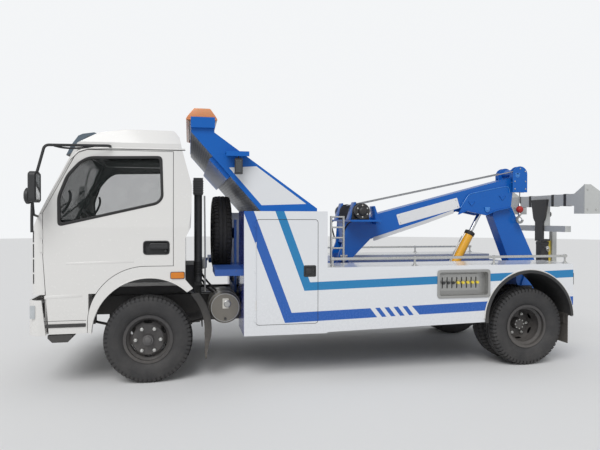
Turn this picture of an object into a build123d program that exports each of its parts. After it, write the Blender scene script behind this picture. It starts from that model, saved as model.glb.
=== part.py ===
from build123d import *
import os
from math import atan2, cos, degrees, hypot, radians, sin

# Light cab-over tow truck, in millimetres, +Z up, front towards -X, driver's side towards -Y.
# X is measured rearward from the front axle, and every piece is moved at the end so that
# the origin lies on the ground under the middle of the truck's length.

# Overall sizes
FRONT_END = -1020
WHEELBASE = 3800
REAR_END = WHEELBASE + 1060
MID_X = (FRONT_END + REAR_END) / 2
BODY_HALF = 1080
GAP = 5
FIT = 0.5

# Wheels and tyres
TYRE_R = 402.5
TYRE_W = 205
TREAD_W = 165
TYRE_WALL = 14
BEAD_R = 203.5
RIM_W = 152
RIM_SEAT_R = 203
RIM_FLANGE_R = 222
RIM_WELL_R = 176
RIM_T = 6
DISC_T = 8
FRONT_TRACK_HALF = 825
REAR_OUTER_Y = 922.5
REAR_INNER_Y = 667.5
FRONT_DISC_OUT = 75
SPINDLE_R = 30
HUB_R = 62
KINGPIN_Y = 700
KINGPIN_R = 20
EAR_GAP = 5
AXLE_Z = TYRE_R - 2.5

# Chassis
RAIL_Y = 400
RAIL_FLANGE = 60
RAIL_T = 7
RAIL_BOTTOM = 560
RAIL_TOP = RAIL_BOTTOM + 180
RAIL_FRONT = -930
RAIL_REAR = WHEELBASE + 470
SPRING_Y = 370
SPRING_W = 70
LEAF_T = 12

# Cab
CAB_HALF = 960
CAB_BOTTOM = 840
CAB_WALL = 40
DOOR_T = 60
GLASS_T = 5
GLASS_SET = 22
FLOOR_Z = 900
SEAT_BASE_Z = 1100
FOOTWELL_X = -460
ARCH_X = 10
ARCH_Z = AXLE_Z + 75
ARCH_R = TYRE_R + 90
TILT_X = -965
TILT_Z = 775
DOOR_BOTTOM = 490
DOOR_FRONT = -885
DOOR_REAR = 225

# Wrecker body
BOX_FRONT = 860
BOX_REAR = 1650
BOX_BOTTOM = 430
BOX_TOP = 1580
BOX_INNER_Y = 560
BOX_WALL = 25
BOX_DOOR_T = 35
DECK_Z = 980
DECK_T = 30
SIDE_TOP = DECK_Z + 70
SIDE_BOTTOM = 440
SIDE_REAR = WHEELBASE + 480
SIDE_WALL = 30
FENDER_X = WHEELBASE - 25
FENDER_Z = AXLE_Z + 95
FENDER_R = TYRE_R + 92.5
FENDER_BAND = 28
HINGE_R = 3.5
HINGE_OUT = 4

# Boom and rear lift, placed from the deck and the rear axle
PIVOT_X = 2070
PIVOT_Z = DECK_Z + 85
PIVOT_R = 25
BOOM_HALF = 120
ARM_T = 30
GUSSET_T = 16
LIFT_BASE = (WHEELBASE - 370, RAIL_TOP + 110)
LIFT_EYE = (WHEELBASE + 42, 1620)
LIFT_PIN_R = 20
BARREL_R = 55
ROD_R = 25
BARREL_LEN = 560
HEAD_X = WHEELBASE + 405
HEAD_Z = 2030
SHEAVE_Y = BOOM_HALF + 36
SHEAVE_R = 50
DRUM_X = PIVOT_X + 136
DRUM_Z = 1592
DRUM_FLANGE_R = 74
DRUM_CORE_R = 66
LEG_HALF = 80
FORK_T = 24
POST_X0 = WHEELBASE + 824
POST_X1 = POST_X0 + 105
POST_HALF = 50
POST_WALL = 10
FOLD_PIVOT = ((POST_X0 + POST_X1) / 2, AXLE_Z + 130)
SWIVEL_Z = 1570
SWIVEL_R = 24

nodes = {}
os.makedirs("parts", exist_ok=True)


# Helpers: prisms and cylinders along the truck's own axes
def box(x0, x1, y0, y1, z0, z1):
    """A box between two corners."""
    return Pos((x0 + x1) / 2, (y0 + y1) / 2, (z0 + z1) / 2) * Box(x1 - x0, y1 - y0, z1 - z0)


def prism_y(sketch, y0, y1):
    """A sketch drawn as (X, Z), extruded across the truck."""
    return extrude(Plane.XZ.offset(-y1) * sketch, amount=y1 - y0)


def prism_x(sketch, x0, x1):
    """A sketch drawn as (Y, Z), extruded along the truck."""
    return extrude(Plane.YZ.offset(x0) * sketch, amount=x1 - x0)


def prism_z(sketch, z0, z1):
    """A sketch drawn as (X, Y), extruded upwards."""
    return extrude(Plane.XY.offset(z0) * sketch, amount=z1 - z0)


def polygon(*points):
    """A face with straight sides."""
    return make_face(Polyline(*points, close=True))


def rounded(radius, *points):
    """A face with straight sides and every corner rounded."""
    face = polygon(*points)
    return fillet(face.vertices(), radius)


def disc(u, v, radius):
    """A round face."""
    return Pos(u, v) * Circle(radius)


def rod(start, end, radius):
    """A round bar between two points."""
    first = Vector(*start)
    last = Vector(*end)
    plane = Plane(origin=first, z_dir=last - first)
    return extrude(plane * Circle(radius), amount=(last - first).length)


def bent_rod(radius, bend, *points):
    """A round bar with a rounded bend at each inner point."""
    path = FilletPolyline(*points, radius=bend)
    return sweep(Plane(origin=path @ 0, z_dir=path % 0) * Circle(radius), path=path)


def mirrored(shape):
    """The same piece on the other side of the truck."""
    return mirror(shape, about=Plane.XZ)


def solids_of(*shapes):
    """One compound of separate solids."""
    return Compound([solid for shape in shapes for solid in shape.solids()])


def both_sides(shape):
    """A piece and its mirror image as separate solids."""
    return solids_of(shape, mirrored(shape))


# Ladder frame: two channel rails and their cross members
CROSS_MEMBERS = (RAIL_FRONT + 50, 1150, 2050, 2900, WHEELBASE - 620, WHEELBASE + 220)
rail_section = polygon(
    (RAIL_Y, RAIL_BOTTOM), (RAIL_Y, RAIL_TOP), (RAIL_Y - RAIL_FLANGE, RAIL_TOP),
    (RAIL_Y - RAIL_FLANGE, RAIL_TOP - RAIL_T), (RAIL_Y - RAIL_T, RAIL_TOP - RAIL_T),
    (RAIL_Y - RAIL_T, RAIL_BOTTOM + RAIL_T), (RAIL_Y - RAIL_FLANGE, RAIL_BOTTOM + RAIL_T),
    (RAIL_Y - RAIL_FLANGE, RAIL_BOTTOM))
rail = prism_x(rail_section, RAIL_FRONT, RAIL_REAR)
frame = rail + mirrored(rail)
for member_x in CROSS_MEMBERS:
    member_z = (RAIL_BOTTOM + 40, RAIL_TOP - 25)
    outer = box(member_x - 40, member_x + 40, -RAIL_Y + RAIL_T, RAIL_Y - RAIL_T, *member_z)
    hollow = box(member_x - 40 + RAIL_T, member_x + 41, -RAIL_Y, RAIL_Y,
                 member_z[0] + RAIL_T, member_z[1] - RAIL_T)
    frame += outer - hollow
TILT_LUG_R = 18
for side in (-1, 1):
    lug_base = Pos(RAIL_FRONT + 35, RAIL_TOP - 30) * Rectangle(70, 60)
    lug_face = make_hull(disc(TILT_X, TILT_Z, TILT_LUG_R).edges() + lug_base.edges())
    y_mid = side * (RAIL_Y - 10)
    frame += prism_y(lug_face, y_mid - 10, y_mid + 10)
nodes["frame"] = frame


# Front axle: a dropped beam with an eye at each end for the kingpin
EYE_HALF = 48
beam_side = [(0, -100), (KINGPIN_Y - 220, -100), (KINGPIN_Y - 140, -45), (KINGPIN_Y - 40, -35),
             (KINGPIN_Y - 40, 35), (KINGPIN_Y - 160, 30), (KINGPIN_Y - 240, -20), (0, -20)]
beam_half = polygon(*[(y, AXLE_Z + z) for y, z in beam_side])
beam_face = beam_half + mirror(beam_half, about=Plane.YZ)
front_axle = prism_x(beam_face, -42, 42)
beam_web = offset(beam_face, amount=-16)
front_axle -= prism_x(beam_web, 12, 60)
front_axle -= prism_x(beam_web, -60, -12)
for side in (-1, 1):
    front_axle += Pos(0, side * KINGPIN_Y, AXLE_Z) * Cylinder(KINGPIN_R + 24, 2 * EYE_HALF)
for side in (-1, 1):
    front_axle -= Pos(0, side * KINGPIN_Y, AXLE_Z) * Cylinder(KINGPIN_R + 0.3, 4 * EYE_HALF)
nodes["front_axle"] = front_axle


# Steering knuckles: two ears round the axle's eye, the kingpin, a back plate and the spindle
KNUCKLE_EAR = EYE_HALF + EAR_GAP
KNUCKLE_TOP = KNUCKLE_EAR + 35


def make_knuckle():
    """The left knuckle, which turns about the kingpin."""
    y_pin = -KINGPIN_Y
    body = Pos(0, y_pin, AXLE_Z) * Cylinder(KINGPIN_R, 2 * KNUCKLE_TOP)
    for z0, z1 in ((KNUCKLE_EAR, KNUCKLE_TOP), (-KNUCKLE_TOP, -KNUCKLE_EAR)):
        body += Pos(0, y_pin, AXLE_Z + (z0 + z1) / 2) * Cylinder(KINGPIN_R + 20, z1 - z0)
        body += box(-35, 35, y_pin - 72, y_pin, AXLE_Z + z0, AXLE_Z + z1)
    body += box(-35, 35, y_pin - 72, y_pin - 50, AXLE_Z - KNUCKLE_TOP, AXLE_Z + KNUCKLE_TOP)
    body += prism_y(disc(0, AXLE_Z, 150), y_pin - 80, y_pin - 70)
    body += prism_y(disc(0, AXLE_Z, SPINDLE_R), -FRONT_TRACK_HALF - 50, y_pin - 80)
    arm_z = AXLE_Z - KNUCKLE_TOP + 13
    arm = rod((0, y_pin + 10, arm_z), (150, y_pin + 70, arm_z), 14)
    return body + arm


nodes["knuckle_left"] = make_knuckle()
nodes["knuckle_right"] = mirrored(nodes["knuckle_left"])


# Rear axle: banjo housing, pinion nose and tubes that carry the hubs
PINION_LEN = 260
AXLE_END = 585
STUB_R = 38
rear_axle = prism_y(disc(WHEELBASE, AXLE_Z, 55), -AXLE_END + 15, AXLE_END - 15)
banjo = extrude(Plane.YZ.offset(WHEELBASE - 95) * disc(0, AXLE_Z, 165), amount=190)
rear_axle += chamfer(banjo.edges().filter_by(GeomType.CIRCLE), 45)
rear_axle += rod((WHEELBASE - PINION_LEN, 0, AXLE_Z), (WHEELBASE, 0, AXLE_Z), 62)
SPRING_SEAT = AXLE_Z + 70
for side in (-1, 1):
    rear_axle += prism_y(disc(WHEELBASE, AXLE_Z, 120), *sorted((side * (AXLE_END - 15), side * AXLE_END)))
    rear_axle += prism_y(disc(WHEELBASE, AXLE_Z, STUB_R), *sorted((side * AXLE_END, side * 850)))
    pad_y = sorted((side * (SPRING_Y - 40), side * (SPRING_Y + 40)))
    rear_axle += box(WHEELBASE - 60, WHEELBASE + 60, *pad_y, AXLE_Z, SPRING_SEAT)
nodes["rear_axle"] = rear_axle


# Leaf springs: stacked leaves, an eye at each end and hangers up to the rail
def leaf(x_mid, half, z_mid, rise):
    """One leaf as a thin bowed strip seen from the side."""
    top_z = z_mid + LEAF_T
    lower = ThreePointArc((x_mid - half, z_mid + rise), (x_mid, z_mid), (x_mid + half, z_mid + rise))
    upper = ThreePointArc((x_mid - half, top_z + rise), (x_mid, top_z), (x_mid + half, top_z + rise))
    ends = [Line(lower @ 0, upper @ 0), Line(lower @ 1, upper @ 1)]
    return make_face(Curve() + [lower, upper] + ends)


def make_spring(x_mid, z_seat, half, eye_z, leaves):
    """A spring pack whose leaves shorten downwards, on the left side."""
    camber = eye_z - z_seat - (leaves - 0.5) * LEAF_T
    y0 = -SPRING_Y - SPRING_W / 2
    y1 = -SPRING_Y + SPRING_W / 2
    pack = None
    for index in range(leaves):
        share = (index + 1.5) / (leaves + 0.5)
        strip_half = half * share
        rise = camber * share * share
        strip = prism_y(leaf(x_mid, strip_half, z_seat + index * LEAF_T, rise), y0, y1)
        pack = strip if pack is None else pack + strip
    for end_x in (x_mid - half, x_mid + half):
        pack += prism_y(disc(end_x, eye_z, 17), y0, y1)
        for wall_y in (y0 - 8, y1):
            pack += box(end_x - 25, end_x + 25, wall_y, wall_y + 8, eye_z - 22, RAIL_BOTTOM)
        pack += prism_y(disc(end_x, eye_z, 8), y0 - 8, y1 + 8)
    return pack


FRONT_SPRING_HALF = 560
front_spring = make_spring(0, AXLE_Z - 20, FRONT_SPRING_HALF, RAIL_BOTTOM - 68, 3)
rear_spring = make_spring(WHEELBASE, SPRING_SEAT, 390, RAIL_BOTTOM - 32, 4)
nodes["leaf_springs"] = solids_of(
    front_spring, mirrored(front_spring), rear_spring, mirrored(rear_spring))


# Engine with its gearbox, as plain blocks, and the shaft to the rear axle
GEARBOX_REAR = 1000
engine = box(-420, 480, -290, 290, 430, 1030)
engine += box(480, GEARBOX_REAR, -160, 160, 430, 740)
nodes["engine"] = engine
SHAFT_FRONT = (GEARBOX_REAR, 0, 530)
SHAFT_REAR = (WHEELBASE - PINION_LEN, 0, AXLE_Z)
shaft_run = Vector(*SHAFT_REAR) - Vector(*SHAFT_FRONT)
shaft_plane = Plane(origin=Vector(*SHAFT_FRONT), z_dir=shaft_run)
driveshaft = extrude(shaft_plane.offset(60) * Circle(42), amount=shaft_run.length - 120)
driveshaft += rod(SHAFT_FRONT, tuple(Vector(*SHAFT_FRONT) + shaft_run.normalized() * 60), 26)
driveshaft += rod(tuple(Vector(*SHAFT_REAR) - shaft_run.normalized() * 60), SHAFT_REAR, 26)
driveshaft -= box(GEARBOX_REAR - 60, GEARBOX_REAR, -80, 80, 450, 620)
driveshaft -= box(WHEELBASE - PINION_LEN, WHEELBASE - PINION_LEN + 80, -80, 80, AXLE_Z - 100, AXLE_Z + 100)
nodes["driveshaft"] = driveshaft


# Front wheels: tyre casing and steel wheel with its hub
def tyre_profile(y_mid):
    """Half section of a tyre casing, drawn as (Y, radius)."""
    half = TYRE_W / 2
    bead = RIM_W / 2 - RIM_T - FIT
    waist_r = 0.52 * TYRE_R + 0.48 * BEAD_R
    lip_r = RIM_FLANGE_R + 4
    tread_r = TYRE_R - 14
    left = ThreePointArc((-bead, lip_r), (-half, waist_r), (-TREAD_W / 2, tread_r))
    crown = ThreePointArc((-TREAD_W / 2, tread_r), (0, TYRE_R), (TREAD_W / 2, tread_r))
    right = ThreePointArc((TREAD_W / 2, tread_r), (half, waist_r), (bead, lip_r))
    base = Polyline((bead, lip_r), (bead, BEAD_R), (-bead, BEAD_R), (-bead, lip_r))
    face = make_face(Curve() + [left, crown, right, base])
    inner_half = half - TYRE_WALL
    mouth_half = bead - 22
    cavity = polygon(
        (-mouth_half, BEAD_R - 5), (-mouth_half, BEAD_R + 30), (-inner_half, waist_r),
        (-TREAD_W / 2 + 10, TYRE_R - 34), (TREAD_W / 2 - 10, TYRE_R - 34), (inner_half, waist_r),
        (mouth_half, BEAD_R + 30), (mouth_half, BEAD_R - 5))
    return Pos(y_mid, 0) * (face - cavity)


def turned(sketch, x_axle):
    """A (Y, radius) sketch turned about an axle across the truck."""
    lifted = Plane.YZ * sketch
    spun = revolve(lifted, axis=Axis.Y)
    return Pos(x_axle, 0, AXLE_Z) * spun


def rim_profile(y_mid):
    """Section of a drop-centre rim, drawn as (Y, radius)."""
    half = RIM_W / 2
    outer = [
        (-half, RIM_FLANGE_R), (-half + RIM_T, RIM_FLANGE_R), (-half + RIM_T, RIM_SEAT_R),
        (-half + 34, RIM_SEAT_R), (-half + 46, RIM_WELL_R), (half - 46, RIM_WELL_R),
        (half - 34, RIM_SEAT_R), (half - RIM_T, RIM_SEAT_R), (half - RIM_T, RIM_FLANGE_R),
        (half, RIM_FLANGE_R), (half, RIM_SEAT_R - RIM_T), (half - 38, RIM_SEAT_R - RIM_T),
        (half - 50, RIM_WELL_R - RIM_T), (-half + 50, RIM_WELL_R - RIM_T),
        (-half + 38, RIM_SEAT_R - RIM_T), (-half, RIM_SEAT_R - RIM_T)]
    return Pos(y_mid, 0) * polygon(*outer)


# Hand holes: slots between the studs, where the wheel's centre falls back from its flat
VENTS = 6
VENT_CIRCLE = 156
VENT_LONG = 74
VENT_WIDE = 24
FLAT_R = 136
WELL_R = RIM_WELL_R - RIM_T


def vent_holes(x_axle, y0, y1):
    """Slotted hand holes round the wheel's centre."""
    cutters = []
    for index in range(VENTS):
        angle = 360 / VENTS * (index + 0.5)
        slot = Rot(0, 0, angle) * Pos(VENT_CIRCLE, 0) * Rot(0, 0, 90) * SlotOverall(VENT_LONG, VENT_WIDE)
        cutters.append(prism_y(Pos(x_axle, AXLE_Z) * slot, y0, y1))
    return Compound(cutters)


def make_front_wheel():
    """The left front wheel: rim, pressed centre and hub."""
    y_rim = -FRONT_TRACK_HALF
    y_face = y_rim - FRONT_DISC_OUT
    wheel = turned(rim_profile(y_rim), 0)
    web = [
        (y_face, HUB_R), (y_face, FLAT_R), (y_face + 46, WELL_R), (y_face + 58, WELL_R),
        (y_face + DISC_T, FLAT_R - 5), (y_face + DISC_T, HUB_R)]
    wheel += turned(polygon(*web), 0)
    wheel -= vent_holes(0, y_face - 10, y_face + 60)
    hub = [
        (y_face - 34, 0), (y_face - 34, 40), (y_face, 48), (y_face, HUB_R + 4),
        (y_face + DISC_T, HUB_R + 4), (y_face + DISC_T, 125), (y_rim + 38, 125),
        (y_rim + 38, SPINDLE_R + 0.3), (y_face + 20, SPINDLE_R + 0.3), (y_face + 20, 0)]
    return wheel + turned(polygon(*hub), 0)


nodes["front_tyre_left"] = turned(tyre_profile(-FRONT_TRACK_HALF), 0)
nodes["front_tyre_right"] = mirrored(nodes["front_tyre_left"])
nodes["front_wheel_left"] = make_front_wheel()
nodes["front_wheel_right"] = mirrored(nodes["front_wheel_left"])


# Rear wheels: twin tyres on two dished wheels, bolted to one hub and drum
def make_rear_wheels():
    """The left pair of rear wheels with their hub."""
    y_face = -(REAR_OUTER_Y + REAR_INNER_Y) / 2
    wheels = turned(rim_profile(-REAR_OUTER_Y) + rim_profile(-REAR_INNER_Y), WHEELBASE)
    reach = (REAR_OUTER_Y - REAR_INNER_Y) / 2 - 24
    web = [
        (0, HUB_R), (0, FLAT_R), (44, WELL_R - 8), (reach, WELL_R),
        (reach + 9, WELL_R), (54, WELL_R - 16), (DISC_T, FLAT_R - 5), (DISC_T, HUB_R)]
    for sign in (-1, 1):
        section = polygon(*[(y_face + sign * run, radius) for run, radius in web])
        wheels += turned(section, WHEELBASE)
    wheels -= vent_holes(WHEELBASE, y_face - 60, y_face + 60)
    hub = [
        (y_face - 70, 0), (y_face - 70, 52), (y_face - DISC_T, HUB_R), (y_face - DISC_T, 80),
        (y_face + DISC_T, 80), (y_face + DISC_T, FLAT_R - 5), (y_face + 165, FLAT_R - 5),
        (y_face + 165, FLAT_R - 12), (y_face + 60, FLAT_R - 12), (y_face + 60, STUB_R + 0.3),
        (y_face - 58, STUB_R + 0.3), (y_face - 58, 0)]
    return wheels + turned(polygon(*hub), WHEELBASE)


rear_tyres = turned(tyre_profile(-REAR_OUTER_Y), WHEELBASE)
rear_tyres_inner = turned(tyre_profile(-REAR_INNER_Y), WHEELBASE)
nodes["rear_tyres_left"] = solids_of(rear_tyres, rear_tyres_inner)
nodes["rear_tyres_right"] = solids_of(mirrored(rear_tyres), mirrored(rear_tyres_inner))
nodes["rear_wheels_left"] = make_rear_wheels()
nodes["rear_wheels_right"] = mirrored(nodes["rear_wheels_left"])


# Fuel tank, air tanks and exhaust, hung on the rails
TANK_X = 705
TANK_Z = 664
TANK_R = 150
air_tank = prism_y(disc(TANK_X, TANK_Z, TANK_R), -850, -RAIL_Y)
air_tank = chamfer(air_tank.edges().filter_by(GeomType.CIRCLE).sort_by(Axis.Y)[0], 18)
fuel_tank_face = rounded(45, (RAIL_Y + 20, 400), (820, 400), (820, 700), (RAIL_Y + 20, 700))
fuel_tank = prism_x(fuel_tank_face, 1720, 2500)
for bracket_x in (1850, 2370):
    fuel_tank += box(bracket_x - 20, bracket_x + 20, RAIL_Y, RAIL_Y + 22, 570, 690)
nodes["tanks"] = solids_of(air_tank, fuel_tank)
MUFFLER_Y = RAIL_Y + 70
MUFFLER_Z = RAIL_BOTTOM - 60
MUFFLER_FRONT = FRONT_SPRING_HALF + 50
exhaust = rod((120, MUFFLER_Y, MUFFLER_Z), (MUFFLER_FRONT, MUFFLER_Y, MUFFLER_Z), 28)
exhaust += rod((MUFFLER_FRONT, MUFFLER_Y, MUFFLER_Z), (1000, MUFFLER_Y, MUFFLER_Z), 85)
exhaust += rod((1000, MUFFLER_Y, MUFFLER_Z), (1600, MUFFLER_Y, MUFFLER_Z), 28)
for hanger_x in (700, 1400):
    exhaust += box(hanger_x, hanger_x + 30, RAIL_Y, MUFFLER_Y, MUFFLER_Z, RAIL_BOTTOM + 60)
nodes["exhaust"] = exhaust


# Front bumper: a wrap-round pressing whose plan has rounded corners
BUMPER_TOP = 790
BUMPER_BOTTOM = 480
BUMPER_REAR = -900
BUMPER_SLANT = 36
BUMPER_T = 18


def bumper_plan(inset):
    """The bumper's outline from above."""
    half = CAB_HALF - inset
    front = FRONT_END + inset
    face = polygon((front, -half), (front, half), (BUMPER_REAR + 200, half), (BUMPER_REAR + 200, -half))
    corners = face.vertices().sort_by(Axis.X)[:2]
    return fillet(corners, 110 - inset)


bumper = prism_z(bumper_plan(0) - bumper_plan(BUMPER_T), BUMPER_BOTTOM, BUMPER_TOP)
bumper_end = polygon(
    (BUMPER_REAR, BUMPER_TOP + 10), (BUMPER_REAR, BUMPER_TOP), (BUMPER_REAR + BUMPER_SLANT, BUMPER_BOTTOM),
    (BUMPER_REAR + BUMPER_SLANT, BUMPER_BOTTOM - 10), (BUMPER_REAR + 400, BUMPER_BOTTOM - 10),
    (BUMPER_REAR + 400, BUMPER_TOP + 10))
bumper -= prism_y(bumper_end, -CAB_HALF - 10, CAB_HALF + 10)
LAMP_Y0 = 560
LAMP_Y1 = 850
LAMP_Z0 = 600
LAMP_Z1 = 740
for side in (-1, 1):
    lamp_y = sorted((side * LAMP_Y0, side * LAMP_Y1))
    bumper -= box(FRONT_END - 10, FRONT_END + 60, *lamp_y, LAMP_Z0, LAMP_Z1)
    horn_y = sorted((side * (RAIL_Y - RAIL_FLANGE), side * RAIL_Y))
    bumper += box(FRONT_END + BUMPER_T - 2, RAIL_FRONT, *horn_y, RAIL_BOTTOM + 40, RAIL_BOTTOM + 110)
nodes["front_bumper"] = bumper
headlamp_face = rounded(20, (LAMP_Y0 + FIT, LAMP_Z0 + FIT), (LAMP_Y1 - FIT, LAMP_Z0 + FIT),
                        (LAMP_Y1 - FIT, LAMP_Z1 - FIT), (LAMP_Y0 + FIT, LAMP_Z1 - FIT))
headlamp = prism_x(headlamp_face, FRONT_END + 4, FRONT_END + 90)


# Cab form: the crossing of a side view, a front view and a plan, drawn so that walls are offsets
CAB_REAR = 395
CAB_SILL_X = 334
CAB_SIDE = [
    (-985, CAB_BOTTOM), (-1000, 1120), (-975, 1430), (-610, 2190), (-440, 2290), (-120, 2345),
    (150, 2352), (237, 2325), (283, 2265), (308, 2140), (CAB_REAR, 1815), (CAB_REAR - 10, 1430),
    (CAB_SILL_X, 1330), (CAB_SILL_X, CAB_BOTTOM)]
BELT_Z = 1430
EAVES_Z = 2200
EAVES_HALF = CAB_HALF - 75
CAB_FRONT = [
    (-CAB_HALF, CAB_BOTTOM), (-CAB_HALF, BELT_Z), (-EAVES_HALF, EAVES_Z), (-EAVES_HALF + 65, 2330),
    (-400, 2375), (400, 2375), (EAVES_HALF - 65, 2330), (EAVES_HALF, EAVES_Z), (CAB_HALF, BELT_Z),
    (CAB_HALF, CAB_BOTTOM)]
CAB_CORNER_R = 130


def inset_face(face, inset):
    """A face drawn in or out by a wall's thickness."""
    if inset == 0:
        return face
    return offset(face, amount=-inset, kind=Kind.INTERSECTION)


def cab_form(inset):
    """The cab's outside, or the surface a given depth inside it."""
    side_view = inset_face(polygon(*CAB_SIDE), inset)
    front_view = inset_face(polygon(*CAB_FRONT), inset)
    plan = polygon((-1003, -CAB_HALF), (-1003, CAB_HALF), (CAB_REAR, CAB_HALF), (CAB_REAR, -CAB_HALF))
    nose = fillet(plan.vertices().sort_by(Axis.X)[:2], CAB_CORNER_R)
    plan_view = inset_face(fillet(nose.vertices().sort_by(Axis.X)[-2:], 40), inset)
    form = prism_y(side_view, -1200, 1200)
    form &= prism_x(front_view, -1300, 700)
    form &= prism_z(plan_view, 300, 2600)
    return form


def side_core(depth):
    """What lies a given depth inside the cab's two side walls."""
    top_z = EAVES_Z + 400
    top_half = CAB_HALF - (top_z - BELT_Z) * (CAB_HALF - EAVES_HALF) / (EAVES_Z - BELT_Z)
    face = polygon((-CAB_HALF, 0), (-CAB_HALF, BELT_Z), (-top_half, top_z),
                   (top_half, top_z), (CAB_HALF, BELT_Z), (CAB_HALF, 0))
    return prism_x(inset_face(face, depth), -1300, 700)


DOOR_ARC_X = -20
DOOR_ARC_Z = 580
DOOR_ARC_R = 500
DOOR_SLANT = 46


def door_outline(grow):
    """The cab door's outline from the side, grown by a gap."""
    front = DOOR_FRONT - grow
    rear = DOOR_REAR + grow
    bottom = DOOR_BOTTOM - grow
    top = 2125 + grow
    arch_r = DOOR_ARC_R - grow
    arc_end = DOOR_ARC_X - arch_r
    arc_top = DOOR_ARC_Z + arch_r
    arc_mid = (DOOR_ARC_X - arch_r * cos(radians(45)), DOOR_ARC_Z + arch_r * sin(radians(45)))
    lines = Polyline(
        (DOOR_ARC_X, arc_top), (rear, arc_top), (rear, top), (-600 - grow, top),
        (front, 1560), (front, 1200), (front + DOOR_SLANT, bottom), (arc_end, bottom), (arc_end, DOOR_ARC_Z))
    arc = ThreePointArc((arc_end, DOOR_ARC_Z), arc_mid, (DOOR_ARC_X, arc_top))
    return make_face(Curve() + [lines, arc])


WINDOW_POINTS = [
    (-755, 1450), (-762, 1700), (-690, 1895), (-590, 2012), (-510, 2058), (118, 2075), (130, 1700), (85, 1648)]


def window_outline(inset):
    """The door window's outline from the side."""
    face = polygon(*WINDOW_POINTS)
    return inset_face(fillet(face.vertices(), 18), inset)


SCREEN_LOW = CAB_HALF - 150
SCREEN_HIGH = CAB_HALF - 200
WINDSCREEN = rounded(80, (-SCREEN_LOW, 1475), (SCREEN_LOW, 1475), (SCREEN_HIGH, 2120), (-SCREEN_HIGH, 2120))
REAR_PANE_HALF = 620
REAR_WINDOW = rounded(60, (-REAR_PANE_HALF, 1480), (REAR_PANE_HALF, 1480), (REAR_PANE_HALF, 1790),
                      (-REAR_PANE_HALF, 1790))

outer_form = cab_form(0)
inner_form = cab_form(CAB_WALL)
floor_block = box(-1100, 500, -1000, 1000, CAB_BOTTOM, FLOOR_Z) + box(
    FOOTWELL_X, 500, -1000, 1000, CAB_BOTTOM, SEAT_BASE_Z)
cavity = inner_form - floor_block
cab = outer_form - cavity

# Step wells beside the engine, open towards the doors
STEP_REAR = -530
STEP_INNER_Y = 620
SHELF = 15
step_well = box(DOOR_FRONT, STEP_REAR, -(CAB_HALF - DOOR_T - GAP), -STEP_INNER_Y, DOOR_BOTTOM - 10, CAB_BOTTOM)
step_hollow = box(DOOR_FRONT + SHELF, STEP_REAR - SHELF, -CAB_HALF, -STEP_INNER_Y - SHELF,
                  DOOR_BOTTOM + 5, FLOOR_Z + 1)
cab += step_well
cab += mirrored(step_well)
cab -= step_hollow
cab -= mirrored(step_hollow)

# Openings: arches, engine tunnel, doors, glass
ARCH_INNER_Y = 470
arch_cut = prism_y(disc(ARCH_X, ARCH_Z, ARCH_R), -CAB_HALF - 50, -ARCH_INNER_Y)
cab -= arch_cut
cab -= mirrored(arch_cut)
cab -= box(FOOTWELL_X, 500, -320, 320, CAB_BOTTOM - 10, SEAT_BASE_Z - 40)
door_slot = prism_y(door_outline(GAP), -CAB_HALF - 50, -700) - side_core(DOOR_T + GAP)
cab -= door_slot
cab -= mirrored(door_slot)
cab -= prism_x(WINDSCREEN, -1200, -400)
cab -= prism_x(REAR_WINDOW, 250, 600)

# Wheel arch flares: the white band in front of each wheel and its tail behind
FLARE_T = 38
flare_front = DOOR_ARC_X - DOOR_ARC_R + GAP
flare_zone = disc(DOOR_ARC_X, DOOR_ARC_Z, DOOR_ARC_R - GAP)
flare_zone &= polygon((flare_front, DOOR_ARC_Z), (ARCH_X, DOOR_ARC_Z), (ARCH_X, 1200), (flare_front, 1200))
flare_zone += polygon((flare_front, DOOR_BOTTOM), (ARCH_X, DOOR_BOTTOM), (ARCH_X, DOOR_ARC_Z),
                      (flare_front, DOOR_ARC_Z))
flare_tail = polygon((ARCH_X, CAB_BOTTOM + 20), (CAB_SILL_X, CAB_BOTTOM + 110),
                     (CAB_SILL_X + 69, CAB_BOTTOM + 27),
                     (CAB_SILL_X + 12, CAB_BOTTOM - 10), (ARCH_X, CAB_BOTTOM - 10))
flare = prism_y(flare_zone + flare_tail - disc(ARCH_X, ARCH_Z, ARCH_R), -CAB_HALF, -CAB_HALF + FLARE_T)
cab += flare
cab += mirrored(flare)

# Tilt arms below the cab's front edge, round the pivots on the frame's lugs
for side in (-1, 1):
    arm_y = sorted((side * 345, side * 370))
    arm_base = Pos(TILT_X + 26, CAB_BOTTOM - 1) * Rectangle(68, 2)
    cab += prism_y(make_hull(disc(TILT_X, TILT_Z, 8).edges() + arm_base.edges()), *arm_y)

# Door hinge pins on the front pillars, outside the doors' corners
HINGE_X = DOOR_FRONT - 3
HINGE_Y = CAB_HALF + HINGE_OUT
for side in (-1, 1):
    strap_y = sorted((side * (HINGE_Y + HINGE_R), side * (CAB_HALF - 12)))
    for hinge_z in (1215, 1340):
        cab += box(HINGE_X - 22, HINGE_X, *strap_y, hinge_z, hinge_z + 60)
        cab += Pos(HINGE_X, side * HINGE_Y, hinge_z + 30) * Cylinder(HINGE_R, 90)
nodes["cab_shell"] = cab

# Glass: bent panes set into the windscreen and rear openings
pane = cab_form(GLASS_SET) - cab_form(GLASS_SET + GLASS_T)
front_pane = pane & prism_x(inset_face(WINDSCREEN, FIT), -1200, -400)
rear_pane = pane & prism_x(inset_face(REAR_WINDOW, FIT), 250, 600)
nodes["cab_glass"] = solids_of(front_pane, rear_pane)

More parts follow.
